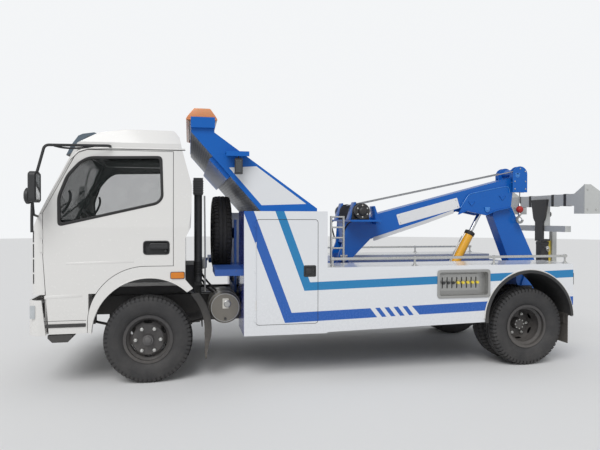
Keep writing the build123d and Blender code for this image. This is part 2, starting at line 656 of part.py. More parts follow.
# Doors: the outer form's own skin, as thick as the whole door, and its pane
lower_skin = box(DOOR_FRONT, STEP_REAR + 20, -CAB_HALF, -(CAB_HALF - DOOR_T), DOOR_BOTTOM,
                 CAB_BOTTOM + DOOR_T)
cab_door = (outer_form - side_core(DOOR_T)) + lower_skin
cab_door &= prism_y(door_outline(0), -CAB_HALF - 50, -700)
cab_door -= prism_y(window_outline(0), -CAB_HALF - 50, -700)
handle_face = rounded(30, (-36, 1185), (191, 1185), (191, 1305), (-36, 1305))
HANDLE_DEPTH = 34
cab_door -= prism_y(handle_face, -CAB_HALF - 10, -CAB_HALF + HANDLE_DEPTH)
nodes["cab_door_left"] = cab_door
nodes["cab_door_right"] = mirrored(cab_door)
door_pane = pane & prism_y(window_outline(FIT), -CAB_HALF - 50, -700)
nodes["door_glass_left"] = door_pane
nodes["door_glass_right"] = mirrored(door_pane)

# Grille, steps and sun visor on the cab's outside
grille = (cab_form(-10) - outer_form) & prism_x(
    rounded(30, (-720, 960), (720, 960), (720, 1300), (-720, 1300)), -1200, -800)
cab_step = box(DOOR_FRONT + 35, STEP_REAR - 115, -(CAB_HALF - 5), -STEP_INNER_Y, 415, DOOR_BOTTOM - 10)
cab_step = chamfer(cab_step.edges().filter_by(Axis.Y).group_by(Axis.Z)[0], 38)
VISOR_HALF = CAB_HALF - 215
visor_side = polygon((-735, 2090), (-690, 2185), (-628, 2272), (-590, 2290), (-490, 2306), (-468, 2298),
                     (-464, 2220), (-520, 2190))
sun_visor = prism_y(visor_side, -VISOR_HALF, VISOR_HALF) - cab_form(-8)
visor_foot = prism_y(visor_side, -VISOR_HALF + 60, -VISOR_HALF + 120) - outer_form
sun_visor += visor_foot
sun_visor += mirrored(visor_foot)
nodes["cab_trim"] = solids_of(grille, sun_visor, cab_step, mirrored(cab_step))

# Dashboard, steering wheel and seats
dash_face = polygon((-1000, 1050), (-1000, 1440), (-760, 1440), (-640, 1380), (-620, 1250), (-720, 1050))
dashboard = prism_y(dash_face, -780, 780) & inner_form
STEER_X = -470
STEER_Y = -430
STEER_Z = 1470
STEER_TILT = 35
steer_axis = (sin(radians(STEER_TILT)), 0, cos(radians(STEER_TILT)))
steer_plane = Plane(origin=(STEER_X, STEER_Y, STEER_Z), z_dir=steer_axis)
column = extrude(steer_plane.offset(-40) * Circle(28), amount=-260)
dashboard += column
nodes["dashboard"] = dashboard
wheel_ring = steer_plane * Torus(205, 15)
for angle in (0, 120, 240):
    spoke = Rot(0, 0, angle + 90) * Pos(105, 0, -8) * Box(190, 26, 10)
    wheel_ring += steer_plane * spoke
wheel_ring += extrude(steer_plane.offset(-38) * Circle(50), amount=40)
nodes["steering_wheel"] = wheel_ring
# Columns: first Y, last Y
SEATS = [(-680, -190), (-110, 680)]
cushions = []
backs = []
for y0, y1 in SEATS:
    cushion_face = rounded(30, (-330, SEAT_BASE_Z), (170, SEAT_BASE_Z), (170, 1235), (-330, 1255))
    cushions.append(prism_y(cushion_face, y0, y1))
    back_face = rounded(35, (95, 1240), (205, 1240), (320, 1830), (225, 1850))
    backs.append(prism_y(back_face, y0 + 10, y1 - 10))
nodes["seats"] = solids_of(*cushions, *backs)

# Mirrors: a housing on a bent tube that starts at the roof's edge
MIRROR_Y = -CAB_HALF - 145
MIRROR_X = -918
ARM_FRONT = (-832, MIRROR_Y, 2134)
ARM_REAR = (-330, MIRROR_Y + 170, 2162)
ARM_ROOT = (-330, -EAVES_HALF + 65, 2162)
STAY = (-930, MIRROR_Y + 40, 1540)
STAY_ROOT = (-930, -CAB_HALF + 100, 1520)
mirror_case = box(MIRROR_X - 28, MIRROR_X + 28, MIRROR_Y - 95, MIRROR_Y + 95, 1645, 1905)
mirror_case = fillet(mirror_case.edges().filter_by(Axis.X), 38)
mirror_unit = chamfer(mirror_case.edges().group_by(Axis.X)[0], 12)
mirror_unit += bent_rod(12, 45, (MIRROR_X + 20, MIRROR_Y, 1885), ARM_FRONT, ARM_REAR, ARM_ROOT)
mirror_unit += bent_rod(10, 30, (MIRROR_X - 12, MIRROR_Y, 1665), STAY, STAY_ROOT)
mirror_unit -= outer_form
nodes["mirrors"] = both_sides(mirror_unit.solids().sort_by(SortBy.VOLUME)[-1])


# Front mudguards and rear fenders: bands round the wheels
def arc_band(x_mid, z_mid, radius, band, angle0, angle1, y0, y1):
    """A curved guard between two angles measured from the rear, upwards."""
    ring = disc(x_mid, z_mid, radius + band) - disc(x_mid, z_mid, radius)
    reach = 3 * radius
    half = (angle1 - angle0) / 2
    middle = radians((angle0 + angle1) / 2)
    spread = radians(half)
    wedge = polygon(
        (x_mid, z_mid),
        (x_mid + reach * cos(middle - spread), z_mid + reach * sin(middle - spread)),
        (x_mid + reach * cos(middle), z_mid + reach * sin(middle)),
        (x_mid + reach * cos(middle + spread), z_mid + reach * sin(middle + spread)))
    return prism_y(ring & wedge, y0, y1)


GUARD_R = ARCH_R + 20
GUARD_T = 14
guard_rear = ARCH_X + GUARD_R
guard = arc_band(ARCH_X, ARCH_Z, GUARD_R, GUARD_T, -4, 45, -925, -640)
guard += box(guard_rear - 4, guard_rear + 8, -925, -640, 200, ARCH_Z)
guard += box(guard_rear - 18, guard_rear, -645, -RAIL_Y, RAIL_BOTTOM + 35, RAIL_BOTTOM + 70)
fender = arc_band(FENDER_X, FENDER_Z, FENDER_R - FENDER_BAND, FENDER_BAND, 2, 183, -BODY_HALF - 20, -560)
nodes["mudguards"] = solids_of(
    guard.solids().sort_by(SortBy.VOLUME)[-1], mirrored(guard.solids().sort_by(SortBy.VOLUME)[-1]),
    fender, mirrored(fender))


# Deck: subframe beams on the rails, cross bearers and the plate, notched for the boom's leg
NOTCH_X = WHEELBASE + 340
NOTCH_HALF = LEG_HALF + 35
SLOT_HALF = BARREL_R + 35
BEAM_IN = RAIL_Y - RAIL_FLANGE
DECK_LOW = DECK_Z - DECK_T
deck = box(BOX_FRONT, SIDE_REAR, -BOX_INNER_Y, BOX_INNER_Y, DECK_LOW, DECK_Z)
for side in (-1, 1):
    beam_y = sorted((side * BEAM_IN, side * RAIL_Y))
    deck += box(BOX_FRONT + 60, WHEELBASE + 260, *beam_y, RAIL_TOP, DECK_LOW)
for bearer_x in (950, 1700, 2450, 3150):
    deck += box(bearer_x - 40, bearer_x + 40, -BOX_INNER_Y, BOX_INNER_Y, DECK_LOW - 120, DECK_LOW)
base_x, base_z = LIFT_BASE
deck += box(base_x - 50, base_x + 50, -BEAM_IN - 5, BEAM_IN + 5, RAIL_TOP + 5, base_z - 60)
deck -= box(NOTCH_X, SIDE_REAR + 50, -NOTCH_HALF, NOTCH_HALF, DECK_LOW - 10, DECK_Z + 10)
deck -= box(base_x - 55, base_x + 155, -SLOT_HALF, SLOT_HALF, DECK_LOW - 10, DECK_Z + 10)
LUG_IN = 100
LUG_OUT = 125
EAR_IN = BARREL_R + GAP
EAR_OUT = EAR_IN + 18
for side in (-1, 1):
    lug_y = sorted((side * LUG_IN, side * LUG_OUT))
    lug_face = polygon((PIVOT_X - 80, DECK_Z), (PIVOT_X + 80, DECK_Z),
                       (PIVOT_X + 40, PIVOT_Z + 45), (PIVOT_X - 40, PIVOT_Z + 45))
    deck += prism_y(lug_face, *lug_y)
    ear_y = sorted((side * EAR_IN, side * EAR_OUT))
    ear_face = polygon((base_x - 50, base_z - 62), (base_x + 50, base_z - 62),
                       (base_x + 30, base_z + 38), (base_x - 30, base_z + 38))
    deck += prism_y(ear_face, *ear_y)
deck += prism_y(disc(PIVOT_X, PIVOT_Z, PIVOT_R), -BOOM_HALF - 46, BOOM_HALF + 46)
deck += prism_y(disc(*LIFT_BASE, LIFT_PIN_R), -EAR_OUT, EAR_OUT)
nodes["deck"] = deck


# Toolboxes: tall lockers behind the cab, each with one front-hinged door
BOX_DOOR_X0 = BOX_FRONT + 115
BOX_DOOR_X1 = BOX_REAR - 95
BOX_DOOR_Z0 = BOX_BOTTOM + 100
BOX_DOOR_Z1 = BOX_TOP - 80


def make_toolbox():
    """The left toolbox without its door, with the hinge rod along the door's front edge."""
    shell = box(BOX_FRONT, BOX_REAR, -BODY_HALF, -BOX_INNER_Y, BOX_BOTTOM, BOX_TOP)
    shell -= box(BOX_FRONT + BOX_WALL, BOX_REAR - BOX_WALL, -BODY_HALF + BOX_DOOR_T + 15,
                 -BOX_INNER_Y - BOX_WALL, BOX_BOTTOM + BOX_WALL, BOX_TOP - BOX_WALL)
    opening = rounded(
        30, (BOX_DOOR_X0 - GAP, BOX_DOOR_Z0 - GAP), (BOX_DOOR_X1 + GAP, BOX_DOOR_Z0 - GAP),
        (BOX_DOOR_X1 + GAP, BOX_DOOR_Z1 + GAP), (BOX_DOOR_X0 - GAP, BOX_DOOR_Z1 + GAP))
    shell -= prism_y(opening, -BODY_HALF - 10, -BODY_HALF + BOX_DOOR_T)
    shell -= prism_y(offset(opening, amount=-25), -BODY_HALF - 10, -BODY_HALF + 80)
    hinge_x = BOX_DOOR_X0 - 3
    hinge_y = -BODY_HALF - HINGE_OUT
    shell += rod((hinge_x, hinge_y, BOX_DOOR_Z0 + 10), (hinge_x, hinge_y, BOX_DOOR_Z1 - 10), HINGE_R)
    for strap_z in (BOX_DOOR_Z0 + 30, (BOX_DOOR_Z0 + BOX_DOOR_Z1) / 2, BOX_DOOR_Z1 - 70):
        shell += box(hinge_x - 17, hinge_x, hinge_y - HINGE_R, -BODY_HALF + 1, strap_z, strap_z + 40)
    return shell


nodes["toolboxes"] = both_sides(make_toolbox())
door_face = rounded(25, (BOX_DOOR_X0, BOX_DOOR_Z0), (BOX_DOOR_X1, BOX_DOOR_Z0),
                    (BOX_DOOR_X1, BOX_DOOR_Z1), (BOX_DOOR_X0, BOX_DOOR_Z1))
box_door = prism_y(door_face, -BODY_HALF, -BODY_HALF + BOX_DOOR_T - FIT)
LATCH_X = BOX_DOOR_X1 - 75
LATCH_Z = (BOX_DOOR_Z0 + BOX_DOOR_Z1) / 2 + 5
latch_face = rounded(15, (LATCH_X - 60, LATCH_Z - 55), (LATCH_X + 60, LATCH_Z - 55),
                     (LATCH_X + 60, LATCH_Z + 55), (LATCH_X - 60, LATCH_Z + 55))
box_door -= prism_y(latch_face, -BODY_HALF - 5, -BODY_HALF + 14)
nodes["toolbox_door_left"] = box_door
nodes["toolbox_door_right"] = mirrored(box_door)


# Side bodies: low skirts with a wheel arch and a recess for the levers
RECESS_X0 = 2770
RECESS_X1 = 3325
RECESS_Z0 = 735
RECESS_Z1 = 1000
side_face = polygon((BOX_REAR, SIDE_BOTTOM), (SIDE_REAR, SIDE_BOTTOM + 60), (SIDE_REAR, SIDE_TOP),
                    (BOX_REAR, SIDE_TOP))
side_face -= disc(FENDER_X, FENDER_Z, FENDER_R)
side_face -= polygon((FENDER_X - FENDER_R, FENDER_Z), (FENDER_X + FENDER_R, FENDER_Z),
                     (FENDER_X + FENDER_R, SIDE_BOTTOM - 140), (FENDER_X - FENDER_R, SIDE_BOTTOM - 140))
side_body = prism_y(side_face, -BODY_HALF, -BODY_HALF + SIDE_WALL)
side_body += box(BOX_REAR, SIDE_REAR, -BODY_HALF, -BOX_INNER_Y, SIDE_TOP - SIDE_WALL, SIDE_TOP)
side_body += box(BOX_REAR, SIDE_REAR, -BOX_INNER_Y - SIDE_WALL, -BOX_INNER_Y, DECK_Z - 60, SIDE_TOP)
side_body += box(SIDE_REAR - SIDE_WALL, SIDE_REAR, -BODY_HALF, -BOX_INNER_Y, 700, SIDE_TOP)
side_body -= prism_y(disc(FENDER_X, FENDER_Z, FENDER_R), -BODY_HALF - 30, -500)
side_body -= box(RECESS_X0, RECESS_X1, -BODY_HALF - 10, -BODY_HALF + SIDE_WALL + 10, RECESS_Z0, RECESS_Z1)
nodes["side_bodies"] = both_sides(side_body.solids().sort_by(SortBy.VOLUME)[-1])


# Lever box: a pressed frame round a slotted plate, and the row of levers
LEVERS = 8
LEVER_STEP = 52
LEVER_X0 = RECESS_X0 + 65
LEVER_OUT = -BODY_HALF + 10
LEVER_IN = -BODY_HALF + 70
LEVER_Z = 870
panel = box(RECESS_X0 + FIT, RECESS_X1 - FIT, -BODY_HALF - 4, -BODY_HALF + 90, RECESS_Z0 + FIT, RECESS_Z1 - FIT)
panel -= box(RECESS_X0 + 18, RECESS_X1 - 18, -BODY_HALF - 10, -BODY_HALF + 60, RECESS_Z0 + 18, RECESS_Z1 - 18)
panel += box(RECESS_X0 + 18, RECESS_X0 + 460, -BODY_HALF + 40, -BODY_HALF + 60, RECESS_Z0 + 60, RECESS_Z1 - 40)
levers = []
for index in range(LEVERS):
    lever_x = LEVER_X0 + index * LEVER_STEP
    panel -= box(lever_x - 6, lever_x + 6, -BODY_HALF + 30, -BODY_HALF + 70, LEVER_Z - 50, LEVER_Z + 60)
    lever = box(lever_x - 4, lever_x + 4, LEVER_OUT, LEVER_IN, LEVER_Z + 4, LEVER_Z + 12)
    lever += prism_y(disc(lever_x, LEVER_Z + 8, 12), LEVER_OUT - 12, LEVER_OUT + 10)
    levers.append(lever)
    levers.append(mirrored(lever))
nodes["lever_boxes"] = solids_of(panel, mirrored(panel), *levers)


# Handrails along both sides of the body, and the ladder rack on the deck's left side
RAIL_POSTS = (BOX_REAR + 70, 2560, 3420, SIDE_REAR - 40)
HANDRAIL_Y = -BODY_HALF + 80
HANDRAIL_Z = SIDE_TOP + 75
handrail = rod((RAIL_POSTS[0] - 20, HANDRAIL_Y, HANDRAIL_Z), (RAIL_POSTS[-1] + 20, HANDRAIL_Y, HANDRAIL_Z), 13)
for post_x in RAIL_POSTS:
    handrail += rod((post_x, HANDRAIL_Y, SIDE_TOP), (post_x, HANDRAIL_Y, HANDRAIL_Z), 10)
RACK_X0 = PIVOT_X - 235
RACK_X1 = RACK_X0 + 135
RACK_Y = -BOX_INNER_Y + 60
RACK_TOP = DECK_Z + 560
rack = rod((RACK_X0, RACK_Y, DECK_Z), (RACK_X0, RACK_Y, RACK_TOP), 12)
rack += rod((RACK_X1, RACK_Y, DECK_Z), (RACK_X1, RACK_Y, RACK_TOP), 12)
for rung in range(5):
    rung_z = RACK_TOP - 10 - 110 * rung
    rack += rod((RACK_X0, RACK_Y, rung_z), (RACK_X1, RACK_Y, rung_z), 9)
nodes["handrails"] = solids_of(handrail, mirrored(handrail), rack)

# Rear underrun bars and tail lamps
tail_bar = box(SIDE_REAR - 50, SIDE_REAR, -BODY_HALF + 80, -260, 420, 505)
tail_bar += box(SIDE_REAR - 50, RAIL_REAR, -RAIL_Y, -RAIL_Y + RAIL_FLANGE, 505, RAIL_BOTTOM)
nodes["rear_bumper"] = both_sides(tail_bar)
tail_lamp = box(SIDE_REAR, SIDE_REAR + 22, -BODY_HALF + 20, -BODY_HALF + 280, 830, 950)

# Light mast: two leaning side plates with a shelf each, a header box and a cross beam
MAST_T = 50
MAST_HALF = BODY_HALF - 30
MAST_IN = MAST_HALF - MAST_T
MAST_FRONT = 390
MAST_TOP = 2425
HEADER_LOW = MAST_TOP - 95
PANEL_TOP = (MAST_FRONT, HEADER_LOW - 38)
PANEL_LOW = (1020, BOX_TOP)
SHELF_Z = 2115
mast_face = polygon((MAST_FRONT, HEADER_LOW + 5), (595, HEADER_LOW + 5), (595, HEADER_LOW - 37),
                    (1554, BOX_TOP + 28), (1554, BOX_TOP), PANEL_LOW, PANEL_TOP)
mast = prism_y(mast_face, -MAST_HALF, -MAST_IN)
mast += prism_y(mast_face, MAST_IN, MAST_HALF)
mast += box(384, 599, -BODY_HALF, BODY_HALF, HEADER_LOW, MAST_TOP)
mast += prism_y(polygon((578, 2080), (742, 1900), (712, 1873), (548, 2053)), -MAST_IN - 5, MAST_IN + 5)
for side in (-1, 1):
    shelf_y = sorted((side * (MAST_HALF - 5), side * (BODY_HALF + 90)))
    lip_y = sorted((side * (BODY_HALF + 82), side * (BODY_HALF + 90)))
    mast += box(693, 900, *shelf_y, SHELF_Z - 8, SHELF_Z)
    mast += box(693, 900, *lip_y, SHELF_Z - 43, SHELF_Z)
nodes["light_mast"] = mast
PANEL_T = 12
mast_panel_face = polygon(
    PANEL_TOP, (PANEL_TOP[0] + PANEL_T, PANEL_TOP[1]), (PANEL_LOW[0] + PANEL_T, BOX_TOP), PANEL_LOW)
nodes["mast_panel"] = prism_y(mast_panel_face, -MAST_IN, MAST_IN) - mast
BAR_LOW = MAST_TOP + 20
BAR_TOP = BAR_LOW + 112
light_bar = prism_y(polygon((340, BAR_LOW), (635, BAR_LOW), (570, BAR_TOP), (410, BAR_TOP)), -800, 800)
for foot_y in (-500, 500):
    light_bar += box(430, 550, foot_y - 40, foot_y + 40, MAST_TOP, BAR_LOW)
nodes["light_bar"] = light_bar

# Work lamps below the mast's shelves
work_lamp = box(773, 842, -BODY_HALF - 75, -BODY_HALF - 5, 1914, 2051)
work_lamp += box(800, 812, -BODY_HALF - 50, -BODY_HALF - 38, 2050, SHELF_Z - 8)
nodes["lamps"] = solids_of(
    headlamp, mirrored(headlamp), tail_lamp, mirrored(tail_lamp), work_lamp, mirrored(work_lamp))

# Spare wheel, upright behind the cab, and its carrier on the frame
SPARE_X = 712
SPARE_Z = 1355
CARRIER_X = BOX_FRONT - 30
spare_tyre = revolve(Plane.YZ * tyre_profile(0), axis=Axis.Y)
spare_turn = Pos(SPARE_X, 0, SPARE_Z) * Rot(0, 0, 90)
nodes["spare_tyre"] = spare_turn * spare_tyre
spare_web = polygon((48, HUB_R), (48, FLAT_R - 10), (-4, WELL_R), (4, WELL_R), (56, FLAT_R - 14), (56, HUB_R))
nodes["spare_wheel"] = spare_turn * revolve(Plane.YZ * (rim_profile(0) + spare_web), axis=Axis.Y)
carrier = box(CARRIER_X, CARRIER_X + 25, -360, 360, RAIL_TOP, RAIL_TOP + 60)
for side in (-1, 1):
    post_y = sorted((side * 300, side * 360))
    carrier += box(CARRIER_X, CARRIER_X + 25, *post_y, RAIL_TOP, 1500)
carrier += box(CARRIER_X, CARRIER_X + 25, -360, 360, SPARE_Z - 55, SPARE_Z + 55)
carrier += rod((SPARE_X - 44, 0, SPARE_Z), (CARRIER_X + 5, 0, SPARE_Z), 30)
carrier += rod((SPARE_X - 72, 0, SPARE_Z), (SPARE_X - 56, 0, SPARE_Z), 110)

# Service shelves in front of the toolboxes
shelf = box(600, BOX_FRONT, -BODY_HALF + 30, -520, 985, 1045)
nodes["spare_carrier"] = solids_of(carrier, shelf, mirrored(shelf))

# Air intake behind the cab
INTAKE_X = 455
intake = box(INTAKE_X - 45, INTAKE_X + 45, -760, -600, 1740, 1900)
intake += rod((INTAKE_X, -680, 900), (INTAKE_X, -680, 1740), 38)
intake += box(INTAKE_X - 35, INTAKE_X + 35, -680, -RAIL_Y, 860, 920)
intake += box(INTAKE_X - 35, INTAKE_X + 35, -RAIL_Y - 30, -RAIL_Y, 650, 900)
nodes["air_intake"] = intake


# Boom: a root block on two arms, the tapered box, and the leg that drops behind the deck
def from_axle(*points):
    """Outline points whose X is measured from the rear axle."""
    return [(WHEELBASE + x, z) for x, z in points]


ROOT_X = PIVOT_X + 10
BEND_X = PIVOT_X + 355
TRAY_TOP = 1500
boom_face = polygon(
    (ROOT_X, 1240), (BEND_X, 1300), *from_axle((-713, 1495), (-360, 1618), (350, 1822), (390, 1850), (390, 2012)),
    (BEND_X, 1552), (BEND_X - 65, TRAY_TOP), (ROOT_X, TRAY_TOP))
boom = prism_y(boom_face, -BOOM_HALF, BOOM_HALF)
root_face = polygon(
    (PIVOT_X - 50, PIVOT_Z - 30), (PIVOT_X + 40, PIVOT_Z - 30), (PIVOT_X + 90, PIVOT_Z - 5), (BEND_X - 35, 1290),
    (BEND_X, 1300), (BEND_X, TRAY_TOP), (ROOT_X, TRAY_TOP), (PIVOT_X - 10, 1240), (PIVOT_X - 60, PIVOT_Z + 45))
arm_in = BOOM_HALF + 10
for side in (-1, 1):
    arm_y = sorted((side * arm_in, side * (arm_in + ARM_T)))
    boom += prism_y(root_face, *arm_y)
    boom -= prism_y(disc(PIVOT_X, PIVOT_Z, PIVOT_R + 0.4), *arm_y)
boom += box(ROOT_X, BEND_X, -arm_in - ARM_T, arm_in + ARM_T, 1300, TRAY_TOP)
boom += box(PIVOT_X, BEND_X + 5, -420, 420, TRAY_TOP - 20, TRAY_TOP)
leg_face = polygon(*from_axle(
    (190, 1790), (151, 1543), (518, 640), (640, 600), (735, 640), (735, 974), (409, 1638), (360, 1700)))
boom += prism_y(leg_face, -LEG_HALF, LEG_HALF)
nodes["boom"] = boom

# Fork plates on the leg's sides with the fold pin, and the gusset plates with the lift pin
fork_out = LEG_HALF + FORK_T
fork_face = rounded(30, *from_axle(
    (520, 700), (640, 560), (840, 455), (950, 480), (955, 590), (770, 860), (660, 960), (590, 900)))
fork_face -= disc(*FOLD_PIVOT, PIVOT_R + FIT)
fork_pin = prism_y(disc(*FOLD_PIVOT, PIVOT_R), -fork_out, fork_out)
for side in (-1, 1):
    fork_pin += prism_y(disc(*FOLD_PIVOT, PIVOT_R + 15), *sorted((side * fork_out, side * (fork_out + 12))))
nodes["boom_fork"] = solids_of(
    prism_y(fork_face, LEG_HALF, fork_out), prism_y(fork_face, -fork_out, -LEG_HALF), fork_pin)
gusset_out = BOOM_HALF + GUSSET_T
gusset_face = polygon(*from_axle(
    (-327, 1562), (-228, 1603), (-73, 1573), (28, 1553), (151, 1605), (355, 1647), (377, 1826), (343, 1826), (330, 1915),
    (-164, 1817), (-218, 1765)))
gusset = prism_y(gusset_face, BOOM_HALF, gusset_out)
gusset += prism_y(disc(*LIFT_EYE, LIFT_PIN_R), BOOM_HALF, gusset_out + 8)
nodes["boom_gussets"] = both_sides(gusset)

# Boom head: two plates each side with a sheave between them, on a cross tube
PLATE_T = 10
SHEAVE_HALF = 22
AXLE_PIN_R = 15
crown = disc(HEAD_X + 35, HEAD_Z + 14, 95)
foot = Pos(HEAD_X + 35, HEAD_Z - 190) * Rectangle(190, 20)
housing_face = make_hull(crown.edges() + foot.edges())
head_out = SHEAVE_Y + SHEAVE_HALF + 4
head = prism_y(housing_face, -BOOM_HALF - PLATE_T, -BOOM_HALF)
head += prism_y(housing_face, -head_out - PLATE_T, -head_out)
head += prism_y(disc(HEAD_X, HEAD_Z, AXLE_PIN_R), -head_out - PLATE_T, -BOOM_HALF)
groove = [(-SHEAVE_HALF, AXLE_PIN_R - 2), (-SHEAVE_HALF, SHEAVE_R + 12), (-17, SHEAVE_R + 12), (-7, SHEAVE_R - 4),
          (7, SHEAVE_R - 4), (17, SHEAVE_R + 12), (SHEAVE_HALF, SHEAVE_R + 12), (SHEAVE_HALF, AXLE_PIN_R - 2)]
sheave = revolve(Plane.YZ * polygon(*groove), axis=Axis.Y)
head += Pos(HEAD_X, -SHEAVE_Y, HEAD_Z) * sheave
head += mirrored(head)
head += prism_y(disc(HEAD_X + 20, HEAD_Z + 38, 42), -BOOM_HALF - PLATE_T / 2, BOOM_HALF + PLATE_T / 2)
nodes["boom_head"] = head


# Winches: two drums on the boom's root, each between bearing plates with its motor outboard
DRUM_Y0 = BOOM_HALF + 75
DRUM_Y1 = DRUM_Y0 + 130
bearing = disc(DRUM_X, DRUM_Z, 90)
bearing_foot = Pos(DRUM_X, TRAY_TOP + 10) * Rectangle(200, 20)
plate_face = make_hull(bearing.edges() + bearing_foot.edges())
winch = prism_y(plate_face, -DRUM_Y0 + 5, -DRUM_Y0 + 20)
winch += prism_y(plate_face, -DRUM_Y1 - 20, -DRUM_Y1 - 5)
winch += prism_y(disc(DRUM_X, DRUM_Z, 85), -DRUM_Y1 - 90, -DRUM_Y1 - 20)
winch += box(DRUM_X - 100, DRUM_X + 100, -DRUM_Y1 - 20, -DRUM_Y0 + 20, TRAY_TOP, TRAY_TOP + 9)
nodes["winches"] = both_sides(winch)
drum_face = [(-DRUM_Y1, 0), (-DRUM_Y1, DRUM_FLANGE_R), (-DRUM_Y1 + 8, DRUM_FLANGE_R), (-DRUM_Y1 + 8, DRUM_CORE_R),
             (-DRUM_Y0 - 8, DRUM_CORE_R), (-DRUM_Y0 - 8, DRUM_FLANGE_R), (-DRUM_Y0, DRUM_FLANGE_R), (-DRUM_Y0, 0)]
drum = Pos(DRUM_X, 0, DRUM_Z) * revolve(Plane.YZ * polygon(*drum_face), axis=Axis.Y)
nodes["winch_drum_left"] = drum
nodes["winch_drum_right"] = mirrored(drum)

# Wire ropes: taut from drum to sheave, then down to a ball and a hook
ROPE_R = 6
wrap = SHEAVE_R + ROPE_R - 2
spool = DRUM_CORE_R + ROPE_R + 2
slope = atan2(HEAD_Z + wrap - DRUM_Z - spool, HEAD_X - DRUM_X)
start = (DRUM_X - spool * sin(slope), DRUM_Z + spool * cos(slope))
touch = (HEAD_X - wrap * sin(slope), HEAD_Z + wrap * cos(slope))
half_turn = radians(45 - degrees(slope) / 2)
top = (HEAD_X + wrap * sin(half_turn), HEAD_Z + wrap * cos(half_turn))
BALL_TOP = 1668
BALL_R = 42
HOOK_X = HEAD_X + wrap
rope_a = Line(start, touch)
rope_b = ThreePointArc(touch, top, (HOOK_X, HEAD_Z))
rope_c = Line((HOOK_X, HEAD_Z), (HOOK_X, BALL_TOP - 5))
rope_path = Plane.XZ * (Curve() + [rope_a, rope_b, rope_c])
rope_wire = Wire(rope_path.edges())
rope_plane = Plane(origin=rope_wire @ 0, z_dir=rope_wire % 0)
rope = Pos(0, -SHEAVE_Y, 0) * sweep(rope_plane * Circle(ROPE_R), path=rope_wire)
hook = Pos(HOOK_X, -SHEAVE_Y, BALL_TOP - BALL_R) * Sphere(BALL_R)
hook += rod((HOOK_X, -SHEAVE_Y, BALL_TOP - 120), (HOOK_X, -SHEAVE_Y, BALL_TOP - 70), 14)
hook_arc = disc(HOOK_X, BALL_TOP - 165, 48) - disc(HOOK_X + 4, BALL_TOP - 163, 25)
hook_arc -= polygon((HOOK_X, BALL_TOP - 165), (HOOK_X + 80, BALL_TOP - 165), (HOOK_X + 80, BALL_TOP - 100),
                    (HOOK_X, BALL_TOP - 100))
hook += prism_y(hook_arc, -SHEAVE_Y - 11, -SHEAVE_Y + 11)
nodes["tow_ropes"] = both_sides(rope + hook)


# Lift cylinder: barrel on the deck's ears, and a rod whose eye carries the pin between the gussets
lift_dx = LIFT_EYE[0] - LIFT_BASE[0]
lift_dz = LIFT_EYE[1] - LIFT_BASE[1]
lift_len = hypot(lift_dx, lift_dz)
unit = (lift_dx / lift_len, lift_dz / lift_len)


def along(distance):
    """A point on the cylinder's axis, measured from its base pin."""
    return (LIFT_BASE[0] + unit[0] * distance, 0, LIFT_BASE[1] + unit[1] * distance)


EYE_R = 42
EYE_HALF_Y = 40
barrel = prism_y(disc(*LIFT_BASE, EYE_R), -EYE_HALF_Y, EYE_HALF_Y)
barrel += rod(along(30), along(BARREL_LEN), BARREL_R)
barrel -= prism_y(disc(*LIFT_BASE, LIFT_PIN_R + 0.4), -EYE_HALF_Y - 20, EYE_HALF_Y + 20)
barrel -= rod(along(75), along(BARREL_LEN + 10), ROD_R + 0.4)
nodes["lift_barrel"] = barrel
rod_body = rod(along(100), along(lift_len - 15), ROD_R)
rod_body += prism_y(disc(*LIFT_EYE, EYE_R), -EYE_HALF_Y, EYE_HALF_Y)
rod_body += prism_y(disc(*LIFT_EYE, LIFT_PIN_R), -BOOM_HALF + GAP, BOOM_HALF - GAP)
nodes["lift_rod"] = rod_body


# Folding stinger: outer box on the fold pin, inner box sliding in it with a head plate
OUTER_TOP = 1235
outer_post = box(POST_X0, POST_X1, -POST_HALF, POST_HALF, FOLD_PIVOT[1] - 70, OUTER_TOP)
outer_post -= box(POST_X0 + POST_WALL, POST_X1 - POST_WALL, -POST_HALF + POST_WALL, POST_HALF - POST_WALL,
                  610, OUTER_TOP + 65)
outer_post += prism_y(disc(*FOLD_PIVOT, 68), -LEG_HALF + 2, LEG_HALF - 2)
outer_post -= prism_y(disc(*FOLD_PIVOT, PIVOT_R + 0.4), -LEG_HALF - 5, LEG_HALF + 5)
nodes["stinger_outer"] = outer_post
slide_fit = POST_WALL + 1
HEAD_T = 25
inner_post = box(POST_X0 + slide_fit, POST_X1 - slide_fit, -POST_HALF + slide_fit, POST_HALF - slide_fit,
                 620, OUTER_TOP + 27)
inner_post += box(POST_X0, POST_X1, -75, 75, OUTER_TOP + 5, OUTER_TOP + 29)
bowl = Pos(0, SWIVEL_Z) * Circle(120)
yoke = Pos(0, SWIVEL_Z + 170) * Rectangle(310, 20)
head_plate = make_hull(bowl.edges() + yoke.edges())
head_plate += polygon((-75, OUTER_TOP + 5), (75, OUTER_TOP + 5), (75, SWIVEL_Z), (-75, SWIVEL_Z))
inner_post += prism_x(head_plate, POST_X0, POST_X0 + HEAD_T)
inner_post += rod((POST_X0, 0, SWIVEL_Z), (POST_X1 + 35, 0, SWIVEL_Z), SWIVEL_R)
inner_post += rod((POST_X1 + 12, 0, SWIVEL_Z), (POST_X1 + 35, 0, SWIVEL_Z), 45)
nodes["stinger_inner"] = inner_post


